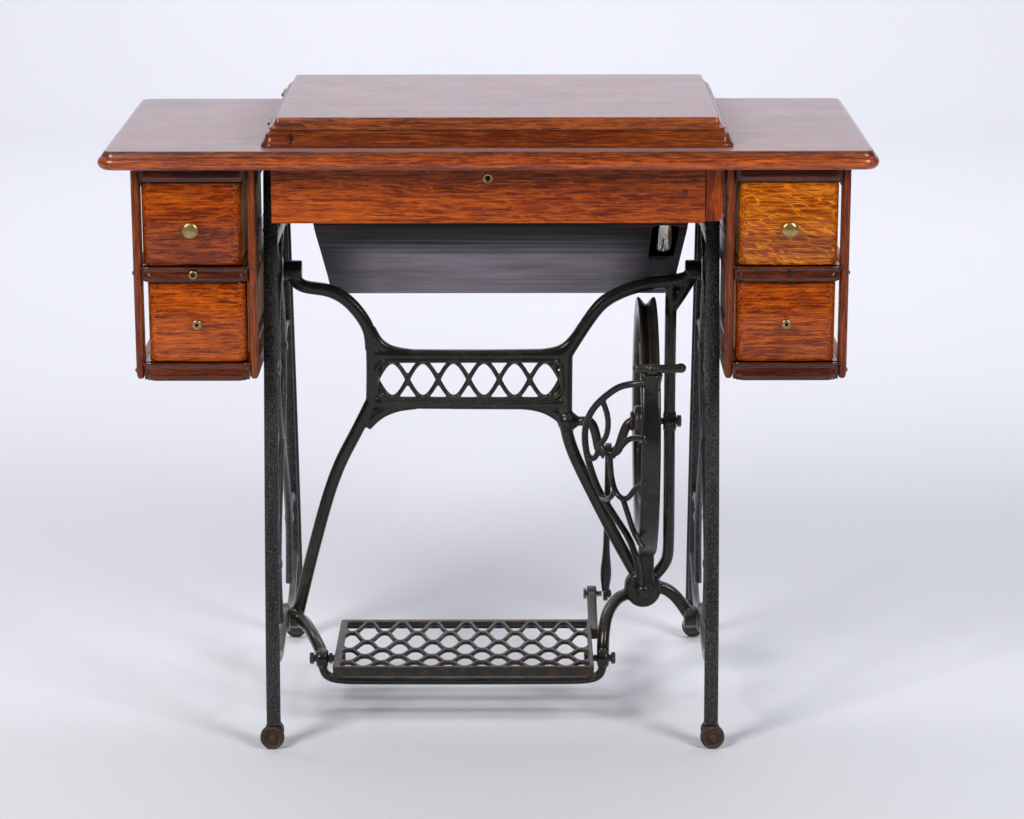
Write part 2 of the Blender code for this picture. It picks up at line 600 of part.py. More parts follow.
def dress_guard():
    """The strip in front of the wheel and the net of rods that keeps a skirt off the crank."""
    radius = WHEEL_RADIUS + 0.0110
    outer, inner, half = radius + 0.0030, radius, 0.0122
    rings = []
    for s in range(13):
        angle = math.radians(146 + (262 - 146) * s / 12)
        y, z = math.cos(angle), math.sin(angle)
        rings.append([(WHEEL_X + dx, BRACE_Y + r * y, WHEEL_Z + r * z)
                      for dx, r in ((-half, outer), (half, outer), (half, inner), (-half, inner))])
    strip = loft(rings)
    stem = bar([(WHEEL_X, BRACE_Y - 0.024, WHEEL_Z - radius - 0.0005), (WHEEL_X, BRACE_Y - 0.0230, 0.160),
                (WHEEL_X - 0.001, BRACE_Y - 0.0198, 0.134)], 0.0200, 0.0050, (0, 1, 0))
    plate = rod((0.1955, BRACE_Y - 0.0165 - GAP, 0.132), (0.1955, BRACE_Y - 0.0215, 0.132), 0.0145, 16)
    edge = [(WHEEL_X - 0.010, -0.1130, 0.4540), (0.1640, -0.096, 0.4290), (0.1385, -0.078, 0.4050),
            (0.1235, -0.068, 0.3840), (0.1165, -0.060, 0.3610), (0.1195, -0.056, 0.3350),
            (0.1265, -0.053, 0.3100), (0.1360, -0.050, 0.2840), (0.1510, -0.045, 0.2580),
            (0.1640, -0.036, 0.2350), (0.1800, -0.022, 0.2050), (0.1900, -0.006, 0.1600),
            (0.1935, BRACE_Y - 0.0216, 0.1400)]
    shapes = [strip, stem, plate, bar(edge, 0.0082, 0.0082, (0.5, 0.8, 0), steps=2)]
    net = [
        [(0.140, -0.079, 0.4060), (0.146, -0.092, 0.3900), (0.1440, -0.088, 0.3680),
         (0.1360, -0.078, 0.3540)],
        [(0.1360, -0.078, 0.3540), (0.1480, -0.092, 0.3400), (0.1600, -0.104, 0.3560),
         (0.1720, -0.118, 0.3740), (WHEEL_X - 0.010, -0.1435, 0.3780)],
        [(0.1190, -0.0565, 0.3360), (0.1290, -0.068, 0.3300), (0.1360, -0.078, 0.3540)],
        [(0.1480, -0.092, 0.3400), (0.1500, -0.090, 0.3120), (0.1570, -0.096, 0.2920),
         (0.1700, -0.108, 0.2900), (0.1780, -0.118, 0.3080), (WHEEL_X - 0.009, -0.1415, 0.3230)],
        [(0.1540, -0.093, 0.2980), (0.1470, -0.075, 0.2800), (0.1390, -0.0490, 0.2780)],
        [(0.1640, -0.1030, 0.2900), (0.1720, -0.0980, 0.2640), (0.1800, -0.0980, 0.2400),
         (WHEEL_X - 0.010, -0.1090, 0.2260)],
    ]
    for k, points in enumerate(net):
        shapes.append(bar(points, 0.0066 - 0.0001 * k, 0.0066, (0.5, 0.8, 0.1), steps=2))
    return finish(fuse(shapes), "dress_guard", "japanned_iron")


def belt_shifter():
    """The finger lever on the guard that pushes the belt off the wheel."""
    x, y, z = WHEEL_X + 0.001, -0.1235, 0.4585
    post = lathe([(0, -0.002), (0.0070, -0.002), (0.0080, 0.002), (0.0075, 0.0080), (0.0040, 0.0105),
                  (0, 0.0110)], (x, y, z), (0, 0, 1), 12)
    finger = bar([(x - 0.020, y + 0.002, z + 0.0045), (x - 0.008, y, z + 0.0045),
                  (x + 0.016, y + 0.001, z + 0.0035), (x + 0.036, y + 0.004, z + 0.0040)], 0.0074, 0.0064,
                 (0, 0, 1), taper=lambda t: 0.8 + 0.45 * t)
    shape = finish(fuse([post, finger]), "belt_shifter", "worn_iron")
    return ride(shape, axis_empty("belt_shifter_axis", (x, y, z)))


# ---------------------------------------------------------------- table

def table_top():
    profile = [(0.0030, TOP_Z - LEAF), (0.0085, TOP_Z - 0.0185), (0.0100, TOP_Z - 0.0130),
               (0.0088, TOP_Z - 0.0080), (0.0040, TOP_Z - 0.0052), (0.0036, TOP_Z - 0.0034), (0.0, TOP_Z)]
    leaf = moulded(LEAF_HALF, 0.010, LEAF_CENTRE, profile)
    well = box((WELL_X[0], WELL_Y[0], TOP_Z - 0.1), (WELL_X[1], WELL_Y[1], TOP_Z + 0.1))
    return finish(cut(leaf, [well]), "table_top", "oak")


def lid_surround():
    """The moulded frame round the well that the lid closes on."""
    base = TOP_Z + GAP
    top = TOP_Z + SURROUND
    profile = [(0.0095, base), (0.0095, base + 0.0040), (0.0048, base + 0.0085), (0.0044, base + 0.0125),
               (0.0, base + 0.0165), (0.0, top)]
    frame = moulded(LID_HALF, 0.006, LID_CENTRE, profile)
    well = box((WELL_X[0] - 0.006, WELL_Y[0] - 0.0005, TOP_Z - 0.1),
               (WELL_X[1] + 0.006, WELL_Y[1] + 0.010, TOP_Z + 0.1))
    return finish(cut(frame, [well]), "lid_surround", "oak_dark")


def lid_hinge_axis():
    return Vector((LID_CENTRE[0] - LID_HALF[0] - 0.0026, 0.0, TOP_Z + SURROUND + GAP / 2))


def lid():
    base = TOP_Z + SURROUND + GAP
    profile = [(0.0, base), (0.0, base + 0.0028), (-0.0035, base + 0.0052), (-0.0078, base + 0.0085),
               (-0.0090, base + 0.0112), (-0.0090, base + LID_THICK)]
    board = moulded(LID_HALF, 0.007, LID_CENTRE, profile)
    empty = axis_empty("lid_axis", lid_hinge_axis())
    return ride(finish(board, "lid", "oak"), empty)


def lid_hinge(name, y):
    """The fixed half of a butt hinge: its barrel, and its leaf on the side of the surround."""
    x, _, z = lid_hinge_axis()
    half = 0.022
    barrel = rod((x, y - half, z), (x, y + half, z), 0.0021, 12)
    side = LID_CENTRE[0] - LID_HALF[0] - GAP
    leaf = box((x - 0.0006, y - half + 0.0004, z - 0.0031), (side, y + half - 0.0004, z - 0.0010))
    return finish(fuse([barrel, leaf]), name, "brass")


def front_flap():
    """The tip-out board under the leaf, with the lock's escutcheon."""
    flap_hinge = (0.0, APRON_FRONT + FLAP_THICK / 2, APRON_Z + 0.002)
    empty = axis_empty("front_flap_axis", flap_hinge)
    board = box((FLAP_X[0], APRON_FRONT, APRON_Z), (FLAP_X[1], APRON_FRONT + FLAP_THICK, UNDER - 0.0005))
    ride(finish(board, "front_flap", "oak"), empty)
    centre = (-0.0036, APRON_FRONT - GAP, 0.7137)
    ring = [(0.0032, 0.0), (0.0064, 0.0), (0.0058, 0.0014), (0.0040, 0.0014)]
    ride(finish(lathe(ring, centre, (0, -1, 0), 20, closed=True), "flap_escutcheon", "brass"), empty)


def rails():
    """The rails under the leaf at the sides and back of the well."""
    inner, outer = RAIL_X
    behind = APRON_FRONT + FLAP_THICK + 0.0015
    left = box((-outer, behind, APRON_Z + 0.002), (-inner, RAIL_REAR, UNDER))
    finish(left, "rail_left", "oak_dark")
    cheek = [(FLAP_X[1] + 0.0006, APRON_FRONT), (0.2760, APRON_FRONT), (0.2785, APRON_FRONT + 0.0025),
             (0.2785, -0.150), (outer, -0.150), (outer, RAIL_REAR), (inner, RAIL_REAR), (inner, behind),
             (FLAP_X[1] + 0.0006, behind)]
    finish(prism(cheek, APRON_Z + 0.002, UNDER), "rail_right", "oak")
    rear = box((-outer, RAIL_REAR + GAP, APRON_Z + 0.002), (outer, RAIL_REAR + 0.013, UNDER))
    finish(rear, "rear_rail", "oak_dark")


PAN_PROFILE = [(-0.1640, UNDER), (-0.1640, 0.6720), (-0.1500, 0.6500), (-0.1000, 0.6220), (-0.0500, 0.5960),
               (0.0000, 0.5690), (0.0500, 0.5415), (0.0860, 0.5190), (0.1010, 0.5100), (0.1130, 0.5070),
               (0.1240, 0.5150), (0.1310, 0.5400), (0.1380, 0.6300), (0.1400, UNDER)]
PAN_X = (-0.2160, 0.2390)
PAN_LEAN = (0.045, 0.040)           # how far each end leans in, per metre of height
PAN_LEAN_Z = 0.640


def pan_block(inset, top):
    """The pan's outside when inset is 0, and otherwise the space inside its walls."""
    ring = []
    last = len(PAN_PROFILE) - 1
    for i, point in enumerate(PAN_PROFILE):
        if i in (0, last):
            ring.append((point[0] + (inset if i == 0 else -inset), top))
            continue
        along = Vector(PAN_PROFILE[i + 1]) - Vector(PAN_PROFILE[i - 1])
        normal = Vector((-along.y, along.x)).normalized()
        inner = Vector(point) + normal * inset
        ring.append((inner.x, inner.y))
    block = prism(ring, PAN_X[0] + inset, PAN_X[1] - inset, "YZ")
    wedges = []
    foot = PAN_LEAN_Z - 0.14
    for k, side in enumerate((1, -1)):
        edge = PAN_X[k] + side * inset
        low, out = edge + side * PAN_LEAN[k] * 0.14, edge - side * 0.05
        outline = [(edge, PAN_LEAN_Z), (low, foot), (out, foot), (out, PAN_LEAN_Z)]
        wedges.append(prism(outline, -0.3, 0.3, "XZ"))
    return cut(block, wedges)


def belly_pan():
    """The hollow box that hangs under the well and keeps dust and oil off the floor."""
    body = pan_block(0.0, UNDER)
    hollow = pan_block(0.0055, UNDER + 0.05)
    slot = prism(rounded((0.0160, 0.0650), 0.010, 3, (HAND_WHEEL_X, -0.0800)), 0.560, 0.668)
    return finish(cut(body, [hollow, slot]), "belly_pan", "ebonised_wood")


# ---------------------------------------------------------------- drawers

def case_side(name, side, span):
    """An open slatted panel: front and rear posts joined by three rails."""
    y0, y1 = CASE_Y
    post, rear = 0.0175, 0.0160
    nose = [(y0 + 0.0050, CASE_FOOT), (y0, CASE_FOOT + 0.0060), (y0, UNDER), (y1, UNDER),
            (y1, CASE_FOOT + 0.004), (y1 - 0.004, CASE_FOOT)]
    low, high = sorted((side * span[0], side * span[1]))
    panel = prism(nose, low, high, "YZ")
    windows = [box((low - 0.01, y0 + post, z0), (high + 0.01, y1 - rear, z1))
               for z0, z1 in ((0.4870, 0.5905), (0.6065, 0.7000))]
    return finish(cut(panel, windows), name, "oak_dark")


def front_rail(side, z0, z1, reach):
    """A rail with rounded front corners between the posts of a case."""
    x0, x1 = CASE_INNER[1] + GAP, CASE_OUTER[0] - GAP
    radius = 0.010
    outline = [(x0, CASE_Y[0] + 0.0150)]
    for k, (cx, start) in enumerate(((x0 + radius, 180), (x1 - radius, 270))):
        for s in range(4):
            angle = math.radians(start + 30 * s)
            outline.append((cx + radius * math.cos(angle), reach + radius + radius * math.sin(angle)))
    outline.append((x1, CASE_Y[0] + 0.0150))
    outline = [(side * x, y) for x, y in outline]
    return prism(outline, z0, z1)


def shelf(name, side, z0, z1):
    """A shelf board with its moulded front rail."""
    x0, x1 = sorted((side * (CASE_INNER[1] + GAP), side * (CASE_OUTER[0] - GAP)))
    rail = front_rail(side, z0, z1, CASE_Y[0] - 0.0070)
    low, high = (x0 + 0.0002, CASE_Y[0] + 0.0100, z1 - 0.0105), (x1 - 0.0002, CASE_Y[1] - 0.018, z1 - 0.0010)
    board = box(low, high)
    return finish(fuse([rail, board]), name, "oak_dark")


def drawer(name, side, z0, z1, knob):
    """An open-topped box with a rounded front. It slides out towards -Y."""
    x = side * (CASE_INNER[1] + CASE_OUTER[0]) / 2 + DRAWER_SHIFT[name]
    half, front = DRAWER_WIDTH / 2, CASE_Y[0]
    empty = axis_empty(f"drawer_{name}_slide", (x, front, (z0 + z1) / 2))
    radius = 0.010
    outline = [(x + half, front + DRAWER_FRONT), (x - half, front + DRAWER_FRONT)]
    for cx, start in ((x - half + radius, 180), (x + half - radius, 270)):
        for s in range(5):
            angle = math.radians(start + 22.5 * s)
            outline.append((cx + radius * math.cos(angle), front + radius + radius * math.sin(angle)))
    face = prism(outline, z0, z1)
    outer = half - 0.0025
    inner = outer - 0.007
    rear = front + DRAWER_FRONT
    body = box((x - outer, rear - 0.002, z0 + 0.0006), (x + outer, DRAWER_BACK, z1 - 0.010))
    pocket = box((x - inner, rear, z0 + 0.0060), (x + inner, DRAWER_BACK - 0.007, z1 + 0.02))
    shape = cut(fuse([face, body]), [pocket])
    ride(finish(shape, f"drawer_{name}", "oak"), empty)
    place = (x, front - GAP, knob_height(name))
    ride(finish(lathe(knob, place, (0, -1, 0), 20), f"knob_{name}", "brass"), empty)


def knob_height(name):
    return 0.6545 if name.startswith("upper") else 0.5380


LARGE_KNOB = [(0, 0), (0.0065, 0), (0.0060, 0.0015), (0.0042, 0.0035), (0.0045, 0.0075), (0.0090, 0.0105),
              (0.0104, 0.0130), (0.0100, 0.0160), (0.0060, 0.0180), (0, 0.0185)]
SMALL_KNOB = [(0, 0), (0.0045, 0), (0.0040, 0.0030), (0.0050, 0.0060), (0.0063, 0.0085), (0.0060, 0.0110),
              (0.0030, 0.0120), (0.0020, 0.0120), (0.0018, 0.0070), (0, 0.0065)]


def drawer_cases():
    for side, hand in ((-1, "left"), (1, "right")):
        case_side(f"case_side_inner_{hand}", side, CASE_INNER)
        case_side(f"case_side_outer_{hand}", side, CASE_OUTER)
        top = front_rail(side, CASE_TOP, UNDER, CASE_Y[0] - 0.0040)
        finish(top, f"case_top_rail_{hand}", "oak_dark")
        shelf(f"middle_shelf_{hand}", side, *MID_SHELF)
        shelf(f"bottom_shelf_{hand}", side, *LOW_SHELF)
        drawer(f"upper_{hand}", side, MID_SHELF[1] + 0.0008, CASE_TOP - 0.0012, LARGE_KNOB)
        drawer(f"lower_{hand}", side, LOW_SHELF[1] + 0.0008, MID_SHELF[0] - 0.0012, SMALL_KNOB)


# ---------------------------------------------------------------- sewing head

def head_bed(head):
    """The rectangular bed plate with its two hinge lugs."""
    centre = (0.0050, -0.0930)
    plate = prism(rounded((0.1800, 0.0850), 0.012, 3, centre), -0.0020, 0.0080)
    skirt = prism(rounded((0.1720, 0.0770), 0.008, 2, centre), -0.0120, -0.0015)
    inside = prism(rounded((0.1680, 0.0730), 0.006, 2, centre), -0.0200, -0.0020 + 0.0001)
    lugs = [box((x - 0.012, -0.0200, -0.0055), (x + 0.012, 0.0055, 0.0055)) for x in (-0.110, 0.120)]
    shape = cut(fuse([plate, skirt, *lugs]), [inside, rod((-0.18, 0, 0), (0.19, 0, 0), 0.0030 + GAP)])
    shape.parent = head
    return finish(shape, "head_bed", "japanned_iron")


def head_arm(head):
    """The pillar, the arm over the bed and the hollow needle end, in one casting."""
    outline = [(0.1520, 0.0083), (0.1500, 0.0500), (0.1500, 0.1500), (0.1430, 0.1850), (0.1200, 0.2020),
               (0.0700, 0.2030), (-0.0500, 0.1930), (-0.1200, 0.1960), (-0.1480, 0.1960), (-0.1550, 0.1880),
               (-0.1550, 0.0850), (-0.1180, 0.0850), (-0.1140, 0.1200), (-0.1000, 0.1430), (-0.0600, 0.1500),
               (0.0300, 0.1500), (0.0650, 0.1380), (0.0800, 0.1000), (0.0780, 0.0400), (0.0680, 0.0083)]
    half = 0.0180
    arm = prism(outline, ARM_Y - half, ARM_Y + half, "XZ")
    bevel = arm.modifiers.new("round", "BEVEL")
    bevel.width = 0.005
    bevel.segments = 2
    bevel.angle_limit = math.radians(50)
    boss = rod((0.1450, ARM_Y, SHAFT_Z), (0.1900, ARM_Y, SHAFT_Z), 0.0165, 20)
    foot = box((0.0600, ARM_Y - 0.0260, 0.0083), (0.1600, ARM_Y + 0.0260, 0.0160))
    pocket = box((-0.1700, ARM_Y - 0.0120, 0.0600), (-0.1280, ARM_Y + 0.0120, 0.1880))
    bore = rod((-0.1300, ARM_Y, SHAFT_Z), (0.2000, ARM_Y, SHAFT_Z), 0.0065 + GAP)
    shape = cut(fuse([arm, boss, foot]), [pocket, bore])
    shape.parent = head
    return finish(shape, "head_arm", "japanned_iron")


def head_small_parts(head):
    """The plates that close the head and the hook carrier under the bed."""
    face = box((-0.1575, ARM_Y - 0.0165, 0.0870), (-0.1550 - GAP, ARM_Y + 0.0165, 0.1920))
    slide = box((-0.1680, ARM_Y - 0.0400, 0.0080 + GAP), (-0.1120, ARM_Y + 0.0300, 0.0098))
    carrier = lathe([(0, -0.0160), (0.0120, -0.0160), (0.0135, -0.0100), (0.0135, 0.0080), (0.0100, 0.0160),
                     (0, 0.0160)], (-0.1380, ARM_Y, -0.0180), (1, 0, 0), 20)
    for shape, name, material in ((face, "face_plate", "nickel"), (slide, "slide_plate", "nickel"),
                                  (carrier, "shuttle_carrier", "steel")):
        shape.parent = head
        finish(shape, name, material)


def hand_wheel(head):
    """The balance wheel and the main shaft that it turns."""
    centre = Vector((HAND_WHEEL_X, ARM_Y, SHAFT_Z))
    r = HAND_WHEEL_RADIUS
    profile = [(0, -0.0160), (0.0150, -0.0160), (0.0170, -0.0060), (0.0480, -0.0030), (r - 0.0110, -0.0040),
               (r - 0.0080, -0.0085), (r - 0.0020, -0.0085), (r, -0.0040), (r, 0.0030), (r - 0.0030, 0.0085),
               (r - 0.0080, 0.0085), (r - 0.0110, 0.0040), (0.0480, 0.0030), (0.0170, 0.0060),
               (0.0150, 0.0130), (0, 0.0140)]
    empty = axis_empty("hand_wheel_axis", centre, parent=head)
    ride(finish(lathe(profile, centre, (1, 0, 0), 32), "hand_wheel", "nickel"), empty, head)
    shaft = rod((-0.1265, ARM_Y, SHAFT_Z), (HAND_WHEEL_X - 0.0160 - GAP, ARM_Y, SHAFT_Z), 0.0065, 12)
    ride(finish(shaft, "main_shaft", "steel"), empty, head)


def needle_and_presser(head):
    needle_x, presser_x = -0.1475, -0.1345
    profile = [(0, 0.0300), (0.0008, 0.0310), (0.0008, 0.0560), (0.0045, 0.0580), (0.0045, 0.0680),
               (0.0032, 0.0690), (0.0032, 0.1520), (0, 0.1520)]
    needle = lathe(profile, (needle_x, ARM_Y, 0), (0, 0, 1), 10)
    empty = axis_empty("needle_bar_slide", (needle_x, ARM_Y, 0.1100), parent=head)
    ride(finish(needle, "needle_bar", "steel"), empty, head)
    bar_shape = rod((presser_x, ARM_Y, 0.0120), (presser_x, ARM_Y, 0.1500), 0.0030, 10)
    foot = box((presser_x - 0.0050, ARM_Y - 0.0180, 0.0106), (presser_x + 0.0050, ARM_Y + 0.0060, 0.0136))
    empty = axis_empty("presser_bar_slide", (presser_x, ARM_Y, 0.1000), parent=head)
    ride(finish(fuse([bar_shape, foot]), "presser_bar", "steel"), empty, head)


def head_levers(head):
    """The presser lifter behind the needle end and the take-up lever in front of it."""
    back = ARM_Y + 0.0180 + GAP
    pivot = Vector((-0.1340, back, 0.1150))
    empty = axis_empty("presser_lifter_axis", pivot, parent=head)
    boss = rod(pivot, pivot + Vector((0, 0.0060, 0)), 0.0065, 12)
    arm = bar([pivot + Vector((0, 0.0035, 0)), pivot + Vector((0.004, 0.004, -0.016)),
               pivot + Vector((0.010, 0.006, -0.034))], 0.0070, 0.0048, (0, 1, 0))
    ride(finish(fuse([boss, arm]), "presser_lifter", "nickel"), empty, head)
    front = ARM_Y - 0.0180 - GAP
    pivot = Vector((-0.1330, front, 0.1600))
    empty = axis_empty("take_up_axis", pivot, parent=head)
    boss = rod(pivot, pivot - Vector((0, 0.0045, 0)), 0.0060, 12)
    arm = bar([pivot - Vector((0, 0.0025, 0)), pivot + Vector((-0.012, -0.003, 0.010)),
               pivot + Vector((-0.026, -0.003, 0.014))], 0.0050, 0.0035, (0, 1, 0))
    ride(finish(fuse([boss, arm]), "take_up_lever", "nickel"), empty, head)


def sewing_head():
    head = axis_empty("head_axis", HEAD_HINGE, (HEAD_DROP, 0, 0))
    head_bed(head)
    head_arm(head)
    head_small_parts(head)
    hand_wheel(head)
    needle_and_presser(head)
    head_levers(head)
    finish(rod((WELL_X[0] + GAP, *HEAD_HINGE.yz), (WELL_X[1] - GAP, *HEAD_HINGE.yz), 0.0030, 10),
           "head_hinge_rod", "steel")


# ---------------------------------------------------------------- assembly

def stand():
    for side in (-1, 1):
        side_frame(side)
    brace()
    dress_guard()
    belt_shifter()
    pivot_screws()
    for side, hand in ((-1, "left"), (1, "right")):
        for turn, end in ((-1, "front"), (1, "rear")):
            caster(f"caster_{end}_{hand}", side, turn)


def drive():
    axle = axis_empty("band_wheel_axis", (WHEEL_X, BRACE_Y, WHEEL_Z))
    band_wheel(axle)
    crankshaft(axle)
    knuckle = axis_empty("pitman_axis", (ROD_X - WHEEL_X, 0, -THROW), parent=axle)
    pitman(knuckle)
    rocker = axis_empty("treadle_axis", PIVOT)
    treadle(rocker)
    pitman_pin(rocker)


def cabinet():
    table_top()
    lid_surround()
    lid()
    lid_hinge("lid_hinge_front", LID_CENTRE[1] - 0.115)
    lid_hinge("lid_hinge_rear", LID_CENTRE[1] + 0.115)
    front_flap()
    rails()
    belly_pan()
    drawer_cases()


def main():
    clear_scene()
    make_materials()
    stand()
    drive()
    cabinet()
    sewing_head()


main()
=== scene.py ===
"""The looks of the treadle sewing machine: its castings, joinery, materials, light and camera."""

import json
import math

import bmesh
import bpy
from mathutils import Matrix, Vector

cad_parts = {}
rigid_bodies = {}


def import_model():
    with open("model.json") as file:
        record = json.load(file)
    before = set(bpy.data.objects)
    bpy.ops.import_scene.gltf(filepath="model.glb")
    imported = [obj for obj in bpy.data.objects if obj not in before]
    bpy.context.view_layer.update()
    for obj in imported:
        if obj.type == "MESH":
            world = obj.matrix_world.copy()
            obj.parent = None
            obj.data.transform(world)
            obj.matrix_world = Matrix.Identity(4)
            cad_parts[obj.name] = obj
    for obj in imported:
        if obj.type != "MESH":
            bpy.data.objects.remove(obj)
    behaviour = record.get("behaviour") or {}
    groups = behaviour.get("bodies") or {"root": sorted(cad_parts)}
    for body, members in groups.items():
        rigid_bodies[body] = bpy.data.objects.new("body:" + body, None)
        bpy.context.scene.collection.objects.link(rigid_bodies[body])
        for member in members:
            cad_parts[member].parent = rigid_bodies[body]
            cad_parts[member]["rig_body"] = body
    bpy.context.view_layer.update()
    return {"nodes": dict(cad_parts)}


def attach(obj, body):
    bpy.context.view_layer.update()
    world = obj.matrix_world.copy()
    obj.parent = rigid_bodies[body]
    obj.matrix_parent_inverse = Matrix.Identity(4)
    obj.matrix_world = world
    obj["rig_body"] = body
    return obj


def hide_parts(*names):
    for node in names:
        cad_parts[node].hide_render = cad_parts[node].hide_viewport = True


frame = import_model()
NODES = frame["nodes"]

# Dimensions repeated from the CAD model, in metres
TOP_Z = 0.75
FRAME_X = 0.2715
FOOT_X = 0.2735
FOOT_Y = 0.2135
BRACE_Y = 0.03
WHEEL = Vector((0.1975, BRACE_Y, 0.356))
WHEEL_RADIUS = 0.1603
THROW = 0.042
ROD_X = 0.1495
PIVOT = Vector((0.0, -0.06, 0.064))
LUG = Vector((ROD_X, 0.115, 0.0946))
TREADLE_X = (-0.2005, 0.1275)
TREADLE_HALF = 0.105
TREADLE_TOP = 0.084
TREADLE_SLOPE = math.radians(1.8)
CASTER_RADIUS = 0.015
LEAF_HALF = (0.4553, 0.2045)
LEAF_CENTRE = (-0.0028, -0.005)
GAP = 0.0003  # between parts that would touch
UNDER = TOP_Z - 0.0225 - GAP
WELL_X = (-0.2, 0.232)
WELL_Y = (-0.158, 0.118)
LID_CENTRE = (0.0077, 0.0075)
LID_HALF = (0.2735, 0.186)
SURROUND = 0.0197
APRON_Z = 0.6585
APRON_FRONT = -0.187
RAIL_INNER = 0.2425
RAIL_REAR = 0.165
CASE_INNER = (0.2825, 0.293)
CASE_OUTER = (0.4205, 0.431)
CASE_FRONT = -0.195
CASE_REAR = 0.16
CASE_FOOT = 0.468
MID_SHELF = (0.589, 0.6077)
LOW_SHELF = (0.467, 0.489)
CASE_TOP = 0.7113
DRAWER_WIDTH = 0.12
DRAWER_BACK = 0.135
DRAWER_SHIFT = {"upper_left": -0.0025, "lower_left": 0.002, "upper_right": 0.0005, "lower_right": -0.001}
HEAD_HINGE = Vector((0.0, 0.1, 0.742))
HEAD_DROP = math.radians(85)
ARM_Y = -0.089
SHAFT_Z = 0.165
HAND_WHEEL_RADIUS = 0.066
HAND_WHEEL_X = 0.2125

# Places and directions that several pieces share
FRAME_SCREW_Z = (0.556, 0.09)
BOSS = Vector((0.1955, BRACE_Y, 0.132))
YOKE_X = (-0.22, 0.1415)
UP = (0, 0, 1)
ALONG_X = (1, 0, 0)
ALONG_Y = (0, 1, 0)
FORWARD = (0, -1, 0)

# How the shapes are made
ROUGH_STEPS = 6  # a path with no more steps than this between points isn't relaxed
RELAX_ROUNDS = 20
WELD = 4e-6
FLAT_RING = 0.004  # how far inside a board's edge its flat faces end in a ring

# Camera, light and floor
LENS = 108.72
CAMERA_PLACE = (0.0291, -3.8373, 1.3722)
CAMERA_TURN = (math.radians(90) - 0.2532, 0.0013, 0.0008)
SKY = ((0.88, 0.9, 1.0, 1), 0.1)
LAMPS = {
    "key": ((-2.3, -2.7, 3.0), (0.0, 0.0, 0.4), (1.2, 1.8), 118, (1.0, 0.98, 0.96)),
    "fill": ((2.5, -2.6, 2.8), (0.0, 0.0, 0.4), (1.2, 1.8), 94, (0.96, 0.98, 1.0)),
    "back_wall": ((0.0, 2.3, 4.3), (0.0, 4.6, 0.8), (7.0, 1.8), 225, (0.97, 0.96, 1.0)),
}
FLOOR_HALF = 11.0
FLOOR_FRONT = -11.0
FLOOR_BEND = 4.4
BEND_RADIUS = 0.9
BEND_STEPS = 12
WALL_TOP = 5.5
FLOOR_DROP = 0.0002


# ---------------------------------------------------------------- camera, light and floor

def linked(name, data):
    """A new object in the scene."""
    thing = bpy.data.objects.new(name, data)
    bpy.context.scene.collection.objects.link(thing)
    return thing


def camera():
    data = bpy.data.cameras.new("camera")
    data.sensor_fit = "HORIZONTAL"
    data.sensor_width = 36.0
    data.lens = LENS
    data.clip_start = 0.1
    data.clip_end = 60
    thing = linked("camera", data)
    thing.location = CAMERA_PLACE
    thing.rotation_euler = CAMERA_TURN
    bpy.context.scene.camera = thing


def area_light(name, place, target, size, power, colour):
    data = bpy.data.lights.new(name, "AREA")
    data.shape = "RECTANGLE"
    data.size, data.size_y = size
    data.energy = power
    data.color = colour
    thing = linked(name, data)
    thing.location = place
    thing.rotation_euler = (Vector(target) - Vector(place)).to_track_quat("-Z", "Y").to_euler()


def studio():
    world = bpy.data.worlds.new("studio")
    world.use_nodes = True
    back = world.node_tree.nodes["Background"]
    back.inputs["Color"].default_value, back.inputs["Strength"].default_value = SKY
    scene = bpy.context.scene
    scene.world = world
    for name, lamp in LAMPS.items():
        area_light(name, *lamp)
    scene.view_settings.view_transform = "Standard"
    scene.view_settings.look = "None"


def floor():
    """A pale floor that curves up into a pale wall."""
    line = [(FLOOR_FRONT, 0.0), (FLOOR_BEND, 0.0)]
    for k in range(1, BEND_STEPS + 1):
        angle = math.pi / 2 * k / BEND_STEPS
        line.append((FLOOR_BEND + BEND_RADIUS * math.sin(angle), BEND_RADIUS * (1 - math.cos(angle))))
    line.append((FLOOR_BEND + BEND_RADIUS, WALL_TOP))
    mesh = bpy.data.meshes.new("floor")
    points = [(x, y, z - FLOOR_DROP) for y, z in line for x in (-FLOOR_HALF, FLOOR_HALF)]
    faces = [(2 * i, 2 * i + 1, 2 * i + 3, 2 * i + 2) for i in range(len(line) - 1)]
    mesh.from_pydata(points, [], faces)
    mesh.shade_smooth()
    thing = linked("floor", mesh)
    thing.data.materials.append(paper())


# ---------------------------------------------------------------- materials

